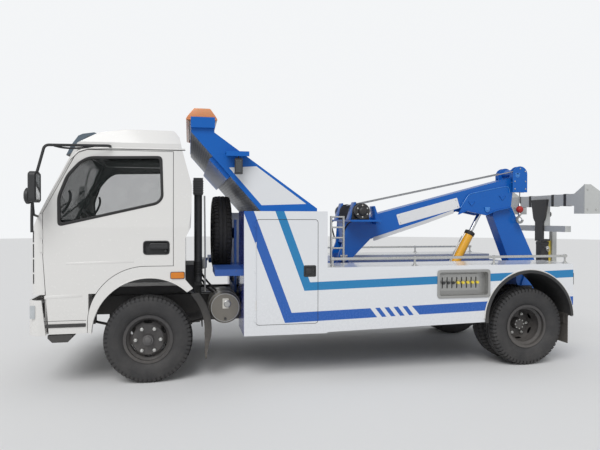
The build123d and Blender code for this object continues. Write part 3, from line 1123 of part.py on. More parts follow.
# Wheel cradle: two cross bars on a swivel hub, a scoop at each end and a hanging arm behind
BAR_X0 = POST_X0 + HEAD_T + 6
BAR_X1 = POST_X1 + 4
SCOOP_X1 = REAR_END
SCOOP_IN = 600
SCOOP_OUT = 770
SCOOP_LOW = 1573
SCOOP_HIGH = 1898
SCOOP_T = 14
cradle = box(BAR_X0, BAR_X1, -SCOOP_IN - 10, SCOOP_IN + 10, 1665, 1800)
cradle += box(BAR_X0, BAR_X1, -450, 450, 1360, 1430)
cradle += box(BAR_X0, BAR_X1, -70, 70, 1360, 1800)
cradle += box(BAR_X1 - 5, REAR_END - 5, -30, 30, 1370, 1420)
cradle += box(REAR_END - 65, REAR_END - 5, -30, 30, 950, 1420)
back_face = polygon((-SCOOP_IN, SCOOP_LOW), (-SCOOP_OUT, SCOOP_LOW), (-SCOOP_OUT, SCOOP_HIGH), (-SCOOP_IN, 1800))
outer_face = polygon((BAR_X0, SCOOP_LOW), (SCOOP_X1, SCOOP_LOW), (SCOOP_X1, SCOOP_HIGH - 80),
                     (BAR_X1, SCOOP_HIGH), (BAR_X0, SCOOP_HIGH))
inner_face = polygon((BAR_X0, SCOOP_LOW), (SCOOP_X1, SCOOP_LOW), (SCOOP_X1, SCOOP_LOW + 120),
                     (BAR_X1, 1800), (BAR_X0, 1800))
for side in (-1, 1):
    cradle += prism_y(outer_face, *sorted((side * (SCOOP_OUT - SCOOP_T), side * SCOOP_OUT)))
    cradle += prism_y(inner_face, *sorted((side * SCOOP_IN, side * (SCOOP_IN + SCOOP_T))))
    cradle += box(BAR_X0, SCOOP_X1, *sorted((side * SCOOP_IN, side * SCOOP_OUT)), SCOOP_LOW, SCOOP_LOW + SCOOP_T)
cradle += prism_x(back_face, BAR_X0, BAR_X0 + SCOOP_T)
cradle += prism_x(mirror(back_face, about=Plane.YZ), BAR_X0, BAR_X0 + SCOOP_T)
cradle -= prism_x(disc(0, SWIVEL_Z, SWIVEL_R + 0.4), POST_X0, POST_X1 + 20)
nodes["wheel_cradle"] = cradle


# Every piece moved to the origin under the middle of the truck, and written out
for name, shape in nodes.items():
    export_step(Pos(-MID_X, 0, 0) * shape, "parts/" + name + ".step")
print(len(nodes), "nodes, moved by", -MID_X)
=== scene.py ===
from math import cos, pi, radians, sin

import bpy
from mathutils import Matrix, Vector


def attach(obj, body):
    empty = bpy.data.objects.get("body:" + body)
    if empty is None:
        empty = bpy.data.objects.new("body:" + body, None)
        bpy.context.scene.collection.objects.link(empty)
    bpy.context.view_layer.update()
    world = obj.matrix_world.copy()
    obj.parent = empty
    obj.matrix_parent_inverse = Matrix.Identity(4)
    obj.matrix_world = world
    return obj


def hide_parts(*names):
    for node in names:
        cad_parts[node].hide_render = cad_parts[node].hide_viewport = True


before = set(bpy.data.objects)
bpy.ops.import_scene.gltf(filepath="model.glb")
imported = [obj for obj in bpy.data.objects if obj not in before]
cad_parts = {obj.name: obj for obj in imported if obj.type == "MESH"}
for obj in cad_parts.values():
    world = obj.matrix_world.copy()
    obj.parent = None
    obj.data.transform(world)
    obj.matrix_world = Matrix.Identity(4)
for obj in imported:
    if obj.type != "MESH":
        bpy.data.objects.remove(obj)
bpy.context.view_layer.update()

# The truck stands on the ground with its nose towards -X and the driver's side towards -Y.
# Places along it are measured from the front axle, which lies 1.92 m ahead of the origin.
AXLE_AHEAD = 1.920


def at(x):
    """A distance behind the front axle, as the frame's own X."""
    return x - AXLE_AHEAD


# Camera: eye height beside the cab's rear, turned a little towards the tail,
# as fitted to the tyres, the upright edges and the horizon.
SENSOR_MM = 36.0
FOCAL_PX = 551.3
IMAGE_PX = 600
camera_data = bpy.data.cameras.new("camera")
camera_data.sensor_width = SENSOR_MM
camera_data.lens = FOCAL_PX / IMAGE_PX * SENSOR_MM
camera = bpy.data.objects.new("camera", camera_data)
camera.location = (at(0.3656), -6.1239, 1.5152)
YAW = 0.19912
PITCH = 0.01224
ROLL = 0.0019
camera.rotation_euler = (pi / 2 - PITCH, -ROLL, -YAW)
bpy.context.scene.collection.objects.link(camera)
bpy.context.scene.camera = camera

# Studio: a wide pale floor, an even sky and one broad soft sun from the camera's side,
# seen through a plain tone curve.
FLOOR_RADIUS = 40
SKY_STRENGTH = 0.52
SKY_SEEN = 0.93
SKY_MIRRORED = 0.1
SUN_STRENGTH = 1.6
SUN_SPREAD = radians(35)
SUN_TURN = (radians(42), radians(-14), radians(-12))
bpy.context.scene.view_settings.view_transform = "Standard"


class Value:
    """A socket of a finish, so that masks and mixes are written as sums."""

    def __init__(self, finish, socket):
        self.finish = finish
        self.socket = socket

    def math(self, operation, *terms):
        return self.finish.add("ShaderNodeMath", {"operation": operation}, dict(enumerate(terms)))

    def __add__(self, other):
        return self.math("ADD", self, other)

    def __radd__(self, other):
        return self.math("ADD", other, self)

    def __sub__(self, other):
        return self.math("SUBTRACT", self, other)

    def __rsub__(self, other):
        return self.math("SUBTRACT", other, self)

    def __mul__(self, other):
        return self.math("MULTIPLY", self, other)

    def __rmul__(self, other):
        return self.math("MULTIPLY", other, self)

    def __gt__(self, other):
        return self.math("GREATER_THAN", self, other)

    def __lt__(self, other):
        return self.math("LESS_THAN", self, other)

    def over(self, other):
        return self.math("DIVIDE", self, other)

    def within(self, low, high):
        return (self > low) * (self < high)

    def clamp(self):
        return self.finish.add("ShaderNodeClamp", {}, {0: self})

    def size(self):
        return self.math("ABSOLUTE", self)

    def wave(self):
        return self.math("SINE", self)

    def fraction(self):
        return self.math("FRACT", self)

    def whole(self):
        return self.math("FLOOR", self)

    def bounce(self):
        """Back and forth between 0 and 1."""
        return self.math("PINGPONG", self, 1.0)

    def parts(self):
        """The three numbers of a vector."""
        node = self.finish.tree.nodes.new("ShaderNodeSeparateXYZ")
        self.finish.tree.links.new(self.socket, node.inputs[0])
        return [Value(self.finish, output) for output in node.outputs]


class Finish:
    """One material, with its nodes made in the order in which they are used."""

    def __init__(self, name, tree_of=None):
        self.material = tree_of or bpy.data.materials.new(name)
        self.material.use_nodes = True
        self.tree = self.material.node_tree
        self.shader = self.tree.nodes.get("Principled BSDF")
        if self.shader:
            self.place = self.add("ShaderNodeTexCoord", {}, {}, "Object")
            self.x, self.y, self.z = self.place.parts()

    def add(self, kind, settings, values, output=0):
        node = self.tree.nodes.new(kind)
        for key, value in settings.items():
            setattr(node, key, value)
        for key, value in values.items():
            self.join(node.inputs[key], value)
        return Value(self, node.outputs[output])

    def join(self, socket, value):
        if isinstance(value, Value):
            self.tree.links.new(value.socket, socket)
        else:
            socket.default_value = value

    def feed(self, name, value):
        self.join(self.shader.inputs[name], value)

    def base(self):
        """The colour so far, to be mixed further."""
        return Value(self, self.shader.inputs["Base Color"].links[0].from_socket)

    def noise(self, scale, detail=3.0, rough=0.5):
        """Noise around 0.5, with so many lumps to a metre."""
        return self.add("ShaderNodeTexNoise", {}, {
            "Vector": self.place, "Scale": scale, "Detail": detail, "Roughness": rough})

    def mix(self, share, first, second):
        return self.add("ShaderNodeMix", {"data_type": "RGBA"}, {0: share, 6: first, 7: second}, 2)

    def bump(self, height, depth):
        """A surface relief of so many metres."""
        return self.add("ShaderNodeBump", {}, {"Strength": 1.0, "Distance": depth, "Height": height})


def tint(red, green, blue):
    return (red, green, blue, 1.0)


sky = bpy.data.worlds.new("sky")
bpy.context.scene.world = sky
sky_look = Finish("sky", tree_of=sky)
seen = sky_look.add("ShaderNodeLightPath", {}, {}, "Is Camera Ray")
glossy = Value(sky_look, seen.socket.node.outputs["Is Glossy Ray"])
through = Value(sky_look, seen.socket.node.outputs["Is Transmission Ray"])
direct = (seen + through).clamp()
sky_tone = direct * (SKY_SEEN - SKY_STRENGTH) + glossy * SKY_MIRRORED + SKY_STRENGTH
backdrop = sky.node_tree.nodes["Background"]
backdrop.inputs["Color"].default_value = tint(0.97, 0.985, 1.0)
sky_look.join(backdrop.inputs["Strength"], sky_tone)

sun_data = bpy.data.lights.new("sun", "SUN")
sun_data.energy = SUN_STRENGTH
sun_data.angle = SUN_SPREAD
sun = bpy.data.objects.new("sun", sun_data)
sun.rotation_euler = SUN_TURN
bpy.context.scene.collection.objects.link(sun)

bpy.ops.object.select_all(action="DESELECT")
bpy.ops.mesh.primitive_circle_add(vertices=96, radius=FLOOR_RADIUS, fill_type="NGON",
                                  location=(0, 0, -0.001))
floor = bpy.context.object
floor.name = "floor"
floor_look = Finish("pale floor")
floor_mottle = floor_look.noise(1.4, 6) * 0.05 - 0.025
floor_base = floor_look.mix(floor_mottle + 0.5, tint(0.74, 0.74, 0.74), tint(0.84, 0.84, 0.84))
floor_look.feed("Base Color", floor_base)
floor_look.feed("Roughness", 0.85)
floor.data.materials.append(floor_look.material)


# Ladder frame, axles and springs: black satin paint over rolled and cast steel,
# with road dust that thickens towards the ground. Every finish starts from this one.
ROAD_DUST = tint(0.30, 0.27, 0.235)
DUST_TOP = 1.1


def painted(name, colour, rough, *, dust, mottle, grain, metal=0.0, coat=0.0, worn=None):
    """Paint or bare metal: mottled, dusty near the ground, finely grained and, where asked, worn."""
    look = Finish(name)
    broad = look.noise(1.7, 5)
    fine = look.noise(38, 4, 0.6)
    darker = tuple(channel * (1 - mottle) for channel in colour[:3]) + (1.0,)
    lighter = tuple(min(1.0, channel * (1 + mottle)) for channel in colour[:3]) + (1.0,)
    base = look.mix((broad * 0.8 + fine * 0.4 - 0.1).clamp(), darker, lighter)
    spread = rough
    if worn:
        chips = (look.noise(26, 5, 0.7) * 1.6 + look.noise(4, 2) - 1.62).clamp() * 6
        base = look.mix(chips.clamp(), base, worn)
    if dust:
        low = ((DUST_TOP - look.z) * (1 / DUST_TOP)).clamp()
        film = (low * low * (fine * 0.8 + broad * 1.2 - 0.2) * dust + fine * dust * 0.08).clamp()
        base = look.mix(film, base, ROAD_DUST)
        spread = film * 0.5 + rough
    look.feed("Base Color", base)
    look.feed("Roughness", (spread + fine * 0.12 - 0.06) if isinstance(spread, Value)
              else fine * 0.12 + (rough - 0.06))
    look.feed("Metallic", metal)
    if coat:
        look.feed("Coat Weight", coat)
        look.feed("Coat Roughness", 0.06)
    look.feed("Normal", look.bump(look.noise(grain[0], 3), grain[1]))
    return look


def dress(look, *names):
    """Gives CAD nodes a finish."""
    for name in names:
        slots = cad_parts[name].data.materials
        slots.clear()
        slots.append(look.material)


CHASSIS_BLACK = tint(0.022, 0.022, 0.024)
chassis_paint = painted("chassis paint", CHASSIS_BLACK, 0.42, dust=0.55, mottle=0.25, grain=(140.0, 0.0004),
                        worn=tint(0.10, 0.065, 0.045))
cast_iron = painted("cast iron", tint(0.12, 0.12, 0.125), 0.55, metal=0.5, dust=0.5, mottle=0.2,
                    grain=(220.0, 0.0008))
dress(chassis_paint, "frame", "front_axle", "rear_axle", "leaf_springs", "driveshaft", "rear_bumper")
dress(cast_iron, "engine", "knuckle_left", "knuckle_right", "exhaust")


# Spring clamps: two forged U-bolts hold each leaf spring down on its axle,
# with their bends over the top of the spring.
REAR_AXLE = 3.8
SPRING_Y = 0.370
U_BOLT_HALF = 0.046


def only(piece):
    """Selects one piece alone."""
    bpy.ops.object.select_all(action="DESELECT")
    piece.select_set(True)
    bpy.context.view_layer.objects.active = piece


def closed():
    """Ends editing."""
    bpy.ops.object.mode_set(mode="OBJECT")


def settle(piece):
    """Moves a piece's place, turn and size into its mesh."""
    only(piece)
    bpy.ops.object.transform_apply(location=True, rotation=True, scale=True)
    return piece


def smooth(piece, angle=35):
    only(piece)
    bpy.ops.object.shade_smooth_by_angle(angle=radians(angle))
    return piece


def line_of(name, points):
    """A line through points, as a curve."""
    data = bpy.data.curves.new(name, "CURVE")
    data.dimensions = "3D"
    spline = data.splines.new("POLY")
    spline.points.add(len(points) - 1)
    for point, place in zip(spline.points, points):
        point.co = (*place, 1)
    piece = bpy.data.objects.new(name, data)
    bpy.context.scene.collection.objects.link(piece)
    return piece


def to_mesh(piece):
    only(piece)
    bpy.ops.object.convert(target="MESH")
    return bpy.context.object


def pipe(name, points, radius, sides=10, bend=0.0):
    """A round bar or hose through points, with rounded turns where a bend is given."""
    piece = line_of(name, points)
    piece.data.bevel_depth = radius
    piece.data.bevel_resolution = max(1, sides // 4 - 1)
    piece.data.use_fill_caps = True
    if bend:
        spline = piece.data.splines[0]
        spline.type = "NURBS"
        spline.order_u = 3
        spline.use_endpoint_u = True
        spline.resolution_u = 8
    return smooth(to_mesh(piece), 60)


def copied(piece, name):
    """A copy with its own mesh."""
    only(piece)
    bpy.ops.object.duplicate(linked=False)
    twin = bpy.context.object
    twin.name = name
    return twin


def opposite(piece, name):
    """The same piece on the other side of the truck."""
    twin = copied(piece, name)
    twin.scale = (1, -1, 1)
    settle(twin)
    only(twin)
    bpy.ops.object.mode_set(mode="EDIT")
    bpy.ops.mesh.select_all(action="SELECT")
    bpy.ops.mesh.normals_make_consistent(inside=False)
    closed()
    return twin


def joined(name, pieces):
    """Several meshes as one piece."""
    bpy.ops.object.select_all(action="DESELECT")
    for piece in pieces:
        piece.select_set(True)
    bpy.context.view_layer.objects.active = pieces[0]
    bpy.ops.object.join()
    whole = bpy.context.object
    whole.name = name
    return whole


def fitted(piece, look, body, slot, *nodes):
    """Gives a piece its material and the body that carries it, and hides the nodes it stands for. The slot
    is not used.
    """
    piece.data.materials.clear()
    piece.data.materials.append(look.material)
    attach(piece, body)
    if nodes:
        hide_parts(*nodes)
    return piece


def pair(piece, look, body, slot, *nodes):
    """The same on both sides of the truck; names ending in _left get a _right twin."""
    other = opposite(piece, piece.name.replace("_left", "_right"))
    fitted(piece, look, body, slot, *nodes)
    right = [name.replace("_left", "_right") for name in nodes]
    return fitted(other, look, body.replace("_left", "_right"), slot, *right)


u_bolt_rows = []
for axle_x, top_z, low_z in ((0.0, 0.430, 0.345), (REAR_AXLE, 0.522, 0.335)):
    for step in (-0.045, 0.045):
        x = at(axle_x + step)
        inner, outer = -SPRING_Y + U_BOLT_HALF, -SPRING_Y - U_BOLT_HALF
        for ends in (((outer, low_z), (outer, top_z)), ((inner, low_z), (inner, top_z)),
                     ((outer, top_z), (inner, top_z))):
            u_bolt_rows.append(pipe("u_bolt", [(x, y, z) for y, z in ends], 0.006))
u_bolts = joined("u_bolts_left", u_bolt_rows)
pair(u_bolts, cast_iron, "chassis", "cast_grey")


# Tyres: 16-inch commercial tyres, black rubber browned by road dust, with a ribbed crown
# whose shoulders are cut into small lugs. One casing is spun and grooved, then copied to each wheel.
AXLE_Z = 0.400
TYRE_R = 0.4025
BEAD_R = 0.2035
SHOULDER_R = 0.3585
SHOULDER_IN = 0.050
SHOULDER_OUT = 0.0945
PITCHES = 58
FRONT_Y = -0.825
REAR_YS = (-0.9225, -0.6675)


def chosen(piece, test):
    """Opens a piece for editing with the faces selected whose centre and normal pass the test."""
    only(piece)
    bpy.ops.object.mode_set(mode="EDIT")
    bpy.ops.mesh.select_mode(type="FACE")
    bpy.ops.mesh.select_all(action="DESELECT")
    bpy.ops.object.mode_set(mode="OBJECT")
    for face in piece.data.polygons:
        face.select = test(face.center, face.normal)
    bpy.ops.object.mode_set(mode="EDIT")


MERGE = 0.00005


def outward(piece):
    """Merges doubled corners and turns every face outwards."""
    only(piece)
    bpy.ops.object.mode_set(mode="EDIT")
    bpy.ops.mesh.select_all(action="SELECT")
    bpy.ops.mesh.remove_doubles(threshold=MERGE)
    bpy.ops.mesh.normals_make_consistent(inside=False)
    closed()
    return piece


def turned(name, profile, centre, axis=(0, 1, 0), steps=48):
    """A profile of (distance along the axis, radius) spun about that axis."""
    along = Vector(axis).normalized()
    side = Vector((0, 0, 1)) if abs(along.z) < 0.5 else Vector((1, 0, 0))
    side = (side - along * side.dot(along)).normalized()
    middle = Vector(centre)
    points = [middle + along * run + side * radius for run, radius in profile]
    piece = to_mesh(line_of(name, points))
    only(piece)
    bpy.ops.object.mode_set(mode="EDIT")
    bpy.ops.mesh.select_all(action="SELECT")
    bpy.ops.mesh.spin(steps=steps, angle=2 * pi, center=middle, axis=along)
    closed()
    return outward(piece)


def make_tyre(name, groove):
    """A tyre standing at the origin, its axle along Y."""
    half_profile = [(0.069, BEAD_R), (0.0695, 0.226), (0.076, 0.234), (0.0895, 0.250), (0.0965, 0.272),
                    (0.1015, 0.292), (0.1015, 0.296), (0.1025, 0.299), (0.1022, 0.308), (0.1008, 0.328),
                    (0.0975, 0.348), (0.0945, 0.358), (0.0935, 0.364), (0.0915, 0.376), (0.0880, 0.3865),
                    (0.0820, 0.3900), (0.0600, 0.3975), (0.0440, 0.3990), (0.0430, 0.3900),
                    (0.0360, 0.3900), (0.0350, 0.4000), (0.0060, TYRE_R - 0.0005), (0.0050, 0.3915)]
    profile = half_profile + [(-y, r) for y, r in reversed(half_profile)]
    profile.append(half_profile[0])
    piece = turned(name, profile, (0, 0, 0), steps=PITCHES * 3)
    step_angle = 2 * pi / (PITCHES * 3)

    def in_groove(centre):
        spoke = Vector((centre.x, centre.z))
        turn = (spoke.angle_signed(Vector((1, 0.0001))) + 2 * pi) / step_angle
        on_shoulder = spoke.length > SHOULDER_R and SHOULDER_IN < abs(centre.y) < SHOULDER_OUT
        return on_shoulder and int(turn) % 3 == 0

    chosen(piece, lambda middle, normal: in_groove(middle))
    bpy.ops.mesh.extrude_region_shrink_fatten(TRANSFORM_OT_shrink_fatten={"value": -groove})
    closed()
    return smooth(piece, 28)


rubber = Finish("tyre rubber")
soil = rubber.noise(9, 6, 0.65)
speckle = rubber.noise(120, 4, 0.7)
rubber_low = ((0.55 - rubber.z) * 1.4).clamp()
rubber_dust = ((soil * 1.3 + speckle * 0.5 - 0.55).clamp() * (rubber_low * 0.5 + 0.35)).clamp()
rubber.feed("Base Color", rubber.mix(rubber_dust * 0.75, tint(0.024, 0.024, 0.026), tint(0.15, 0.14, 0.13)))
rubber.feed("Roughness", rubber_dust * 0.25 + 0.62)
rubber.feed("Normal", rubber.bump(speckle + soil, 0.0009))

casing = make_tyre("casing", 0.009)


def tyre_at(name, place, turn=0.0):
    """One more tyre, stood at its place."""
    twin = copied(casing, name)
    twin.data.transform(Matrix.Translation(Vector(place)) @ Matrix.Rotation(turn, 4, "Z"))
    return twin


front_tyre = tyre_at("tyre_front_left", (at(0), FRONT_Y, AXLE_Z))
pair(front_tyre, rubber, "front_wheel_left", "tyre_rubber", "front_tyre_left")
rear_pair = joined("tyres_rear_left", [tyre_at("tyre", (at(REAR_AXLE), y, AXLE_Z)) for y in REAR_YS])
pair(rear_pair, rubber, "rear_wheels_left", "tyre_rubber", "rear_tyres_left")
SPARE_X = 0.712
SPARE_Z = 1.355
spare = tyre_at("tyre_spare", (at(SPARE_X), 0, SPARE_Z), pi / 2)
fitted(spare, rubber, "chassis", "tyre_rubber", "spare_tyre")
bpy.data.objects.remove(casing)

# Wheels: pressed steel in black paint with six plated nuts each,
# a cap over the front hubs and bolts on the rear ones.
wheel_paint = painted("wheel paint", tint(0.030, 0.030, 0.034), 0.36, dust=0.45, mottle=0.2,
                      grain=(180.0, 0.0003), worn=tint(0.12, 0.11, 0.10))
dress(wheel_paint, "front_wheel_left", "front_wheel_right", "rear_wheels_left", "rear_wheels_right",
      "spare_wheel")
plated = painted("plated steel", tint(0.62, 0.62, 0.60), 0.28, metal=0.9, dust=0.15, mottle=0.12,
                 grain=(300.0, 0.0002))
NUT_CIRCLE = 0.111
NUTS = 6


def shape(piece, kind, **settings):
    """Adds a modifier and applies it."""
    only(piece)
    modifier = piece.modifiers.new(kind.lower(), kind)
    for key, value in settings.items():
        setattr(modifier, key, value)
    bpy.ops.object.modifier_apply(modifier=modifier.name)
    return piece


def eased(piece, width):
    """Rounds the sharp edges."""
    return shape(piece, "BEVEL", width=width, segments=2, limit_method="ANGLE", angle_limit=radians(35))


def make_nut(name, centre, flat=0.017, height=0.022):
    """A chamfered hexagon nut with the end of its stud, facing out on the truck's left side."""
    bpy.ops.object.select_all(action="DESELECT")
    bpy.ops.mesh.primitive_cylinder_add(vertices=6, radius=flat, depth=height, location=centre,
                                        rotation=(pi / 2, 0, 0))
    nut = settle(bpy.context.object)
    chosen(nut, lambda middle, normal: normal.y < -0.9)
    bpy.ops.mesh.inset(thickness=0.004)
    bpy.ops.mesh.extrude_region_move(TRANSFORM_OT_translate={"value": (0, -0.003, 0)})
    bpy.ops.mesh.inset(thickness=0.003)
    bpy.ops.mesh.extrude_region_move(TRANSFORM_OT_translate={"value": (0, -0.008, 0)})
    closed()
    eased(nut, 0.0012)
    nut.name = name
    return nut


def around(piece, name, centre, axis, count):
    """One piece repeated round an axis, as a single mesh."""
    ring = [piece]
    middle = Vector(centre)
    for index in range(1, count):
        twin = copied(piece, name)
        turn = Matrix.Rotation(2 * pi * index / count, 4, Vector(axis))
        twin.data.transform(Matrix.Translation(middle) @ turn @ Matrix.Translation(-middle))
        ring.append(twin)
    return joined(name, ring)


for label, body, axle_x, face_y in (
        ("front", "front_wheel_left", 0.0, -0.900), ("rear", "rear_wheels_left", REAR_AXLE, -0.803)):
    hub = (at(axle_x), face_y, AXLE_Z)
    nut = make_nut("nuts_" + label + "_left", (at(axle_x), face_y - 0.011, AXLE_Z + NUT_CIRCLE))
    ring = around(nut, "nuts_" + label + "_left", hub, (0, 1, 0), NUTS)
    half_step = Matrix.Rotation(pi / NUTS, 4, "Y")
    ring.data.transform(Matrix.Translation(Vector(hub)) @ half_step @ Matrix.Translation(-Vector(hub)))
    pair(ring, plated, body, "bright_steel")
cap_profile = [(0.0, 0.0), (0.0, 0.047), (-0.004, 0.047), (-0.006, 0.036), (-0.010, 0.034), (-0.016, 0.030),
               (-0.020, 0.018), (-0.0205, 0.0)]
front_cap = turned("hub_cap_front_left", cap_profile, (at(0), -0.934, AXLE_Z), steps=32)
pair(smooth(front_cap), cast_iron, "front_wheel_left", "cast_grey")
REAR_HUB = (at(REAR_AXLE), -0.868, AXLE_Z)
HUB_BOLTS = 8
hub_bolt = make_nut("hub_bolts_left", (REAR_HUB[0], REAR_HUB[1], AXLE_Z + 0.048), 0.007, 0.010)
pair(around(hub_bolt, "hub_bolts_left", REAR_HUB, (0, 1, 0), HUB_BOLTS), plated, "rear_wheels_left",
     "bright_steel")


# Cab: pressed steel in white paint, one skin for the shell and its doors, its inside painted near black
# as painted shade. Gutters, seals, handles, lamps and the smoked visor are fixed onto it.
WHITE = tint(0.77, 0.76, 0.74)
body_white = painted("white paint", WHITE, 0.25, coat=0.5, dust=0.22, mottle=0.015, grain=(4.0, 0.0003))
cab_white = painted("cab paint", WHITE, 0.25, coat=0.5, dust=0.22, mottle=0.015, grain=(4.0, 0.0003))

# The cab's inside is painted near black by place, as painted shade: inside the leaning sides,
# behind the rounded nose and the windscreen, ahead of the rear wall, above the sills and under the falling
# roof.
CAB_HALF = 0.960
WAIST_Z = 1.430
LEAN = 0.075 / 0.770
SHADE_HALF = 0.936
ROOF_EDGE_HALF = 0.866
ROOF_EDGE_Z = 2.20
SHADE_NOSE, SHADE_TAIL = -2.87, -1.30
SCREEN_SLOPE = 0.48
REAR_WALL = -1.555
SILL_Z, CEILING_Z, CEILING_FRONT_Z = 0.882, 2.352, 2.325
across = cab_white.y.size()
above_waist = (cab_white.z - WAIST_Z).clamp()
in_side = (across + above_waist * LEAN) < SHADE_HALF
in_side = in_side * ((across + (cab_white.z - ROOF_EDGE_Z).clamp() * 0.5) < ROOF_EDGE_HALF)
nose_round = (across - 0.85).clamp() * 0.55
in_ends = (cab_white.x - above_waist * SCREEN_SLOPE - nose_round).within(SHADE_NOSE, SHADE_TAIL)
in_ends = in_ends * (cab_white.x < REAR_WALL - (cab_white.z - 1.80).clamp() * 0.22)
in_height = (cab_white.z + (across - 0.40).clamp() * 0.107).within(SILL_Z, CEILING_Z)
roof_fall = (-2.04 - cab_white.x).clamp() * 0.172 + (-2.36 - cab_white.x).clamp() * 0.416
in_height = in_height * ((cab_white.z + roof_fall) < CEILING_FRONT_Z)
# Painted shade: the cab's inside faces turn near black.
inside_shade = cab_white.mix(cab_white.noise(90, 4), tint(0.020, 0.022, 0.022), tint(0.038, 0.041, 0.040))
cab_white.feed("Base Color", cab_white.mix(in_side * in_ends * in_height, cab_white.base(), inside_shade))
dress(cab_white, "cab_shell", "cab_door_left", "cab_door_right")
dress(body_white, "front_bumper")
black_plastic = painted("black plastic", tint(0.028, 0.029, 0.031), 0.48, dust=0.3, mottle=0.12,
                        grain=(520.0, 0.0004))
seal_rubber = painted("seal rubber", tint(0.016, 0.016, 0.017), 0.6, dust=0.25, mottle=0.1,
                      grain=(300.0, 0.0002))
dress(black_plastic, "mirrors", "air_intake", "dashboard", "steering_wheel")


def cab_side(z):
    """The cab's half width at a height: upright to the waist, then leaning in."""
    return CAB_HALF - max(0.0, z - WAIST_Z) * LEAN


def onto_side(piece):
    """Moves a flat piece drawn at the widest plane onto the leaning upper side."""
    for vertex in piece.data.vertices:
        vertex.co.y += CAB_HALF - cab_side(vertex.co.z)
    return piece


def softened(points, radius, steps=5):
    """An outline with its corners rounded."""
    outline = []
    count = len(points)
    for index, corner in enumerate(points):
        here = Vector(corner)
        before = Vector(points[index - 1]) - here
        after = Vector(points[(index + 1) % count]) - here
        reach = min(radius, before.length * 0.48, after.length * 0.48)
        first = here + before.normalized() * reach
        last = here + after.normalized() * reach
        for step in range(steps + 1):
            share = step / steps
            outline.append(tuple((1 - share) ** 2 * first + 2 * share * (1 - share) * here + share ** 2
                                 * last))
    return outline


def grown(points, amount):
    """An outline that turns one way, moved outwards all round."""
    area = sum(points[i - 1][0] * points[i][1] - points[i][0] * points[i - 1][1]
               for i in range(len(points)))
    sign = 1 if area > 0 else -1
    outline = []
    count = len(points)
    for index, corner in enumerate(points):
        before = (Vector(corner) - Vector(points[index - 1])).normalized()
        after = (Vector(points[(index + 1) % count]) - Vector(corner)).normalized()
        out_before = Vector((before.y, -before.x)) * sign
        out_after = Vector((after.y, -after.x)) * sign
        bisector = (out_before + out_after).normalized()
        outline.append(tuple(Vector(corner) + bisector * (amount / max(0.35, bisector.dot(out_before)))))
    return outline


def box_outline(x0, x1, z0, z1):
    return [(x0, z0), (x1, z0), (x1, z1), (x0, z1)]


def cut_plate(name, outlines, y, thickness, edge=0.0):
    """A flat plate in the truck's side view, drawn as (X from the front axle, Z) outlines; inner outlines
    are holes. It stands out from y by its thickness, away from the truck's middle."""
    data = bpy.data.curves.new(name, "CURVE")
    data.dimensions = "2D"
    data.fill_mode = "BOTH"
    for points in outlines:
        spline = data.splines.new("POLY")
        spline.points.add(len(points) - 1)
        for point, (x, z) in zip(spline.points, points):
            point.co = (at(x), z, 0, 1)
        spline.use_cyclic_u = True
    data.extrude = thickness / 2 - edge
    data.bevel_depth = edge
    data.offset = -edge
    data.bevel_resolution = 1
    piece = bpy.data.objects.new(name, data)
    bpy.context.scene.collection.objects.link(piece)
    piece = to_mesh(piece)
    piece.rotation_euler = (pi / 2, 0, 0)
    outer = -1 if y < 0 else 1
    piece.location = (0, y + outer * thickness / 2, 0)
    return outward(settle(piece))


WINDOW = [(-0.755, 1.450), (0.085, 1.648), (0.130, 1.700), (0.118, 2.075), (-0.510, 2.058), (-0.590, 2.012),
          (-0.690, 1.895), (-0.762, 1.700)]
window_seal = cut_plate("window_seal_left",
                        [softened(grown(WINDOW, 0.011), 0.045), softened(grown(WINDOW, -0.014), 0.035)],
                        -0.938, 0.026, 0.003)
pair(smooth(onto_side(window_seal)), seal_rubber, "cab_door_left", "black_plastic")
sweeper = cut_plate("window_wiper_left", [[(-0.75, 1.448), (0.088, 1.645), (0.088, 1.660), (-0.75, 1.463)]],
                    -0.960, 0.006, 0.002)
pair(onto_side(sweeper), seal_rubber, "cab_door_left", "black_plastic")

# Roof gutter: a folded lip of white steel over the door that runs down beside the windscreen,
# with a thin black tube under the fold as its painted shadow.
GUTTER = [(-0.905, 1.56), (-0.790, 1.80), (-0.668, 2.04), (-0.600, 2.112), (-0.520, 2.140), (-0.30, 2.147),
          (0.335, 2.150)]
gutter = pipe("roof_gutter_left", [(at(x), -cab_side(z) - 0.002, z) for x, z in GUTTER], 0.0075, 12)
pair(gutter, body_white, "cab", "body_white")
# A black tube under the gutter's fold: painted shadow.
gutter_shade_strip = pipe("gutter_shadow_left", [(at(x), -cab_side(z) - 0.0015, z - 0.008) for x, z in GUTTER],
                  0.004, 8)
pair(gutter_shade_strip, seal_rubber, "cab", "black_plastic")

# Door handle: a black moulded bowl let into the door's skin,
# with a pull bar across it and a lock in its rear corner.
HANDLE = (-0.036, 0.191, 1.185, 1.305)


def pressed(piece, axis, sign, inset, move):
    """Insets the faces that look along an axis, forwards (1) or back (-1), and moves what lies inside."""
    chosen(piece, lambda middle, normal: getattr(normal, axis) * sign > 0.9)
    bpy.ops.mesh.inset(thickness=inset)
    bpy.ops.mesh.extrude_region_move(TRANSFORM_OT_translate={"value": move})
    closed()


def bowl_edge(amount, corner):
    """The bowl's outline, so much larger or smaller."""
    return softened(grown(box_outline(*HANDLE), amount), corner)


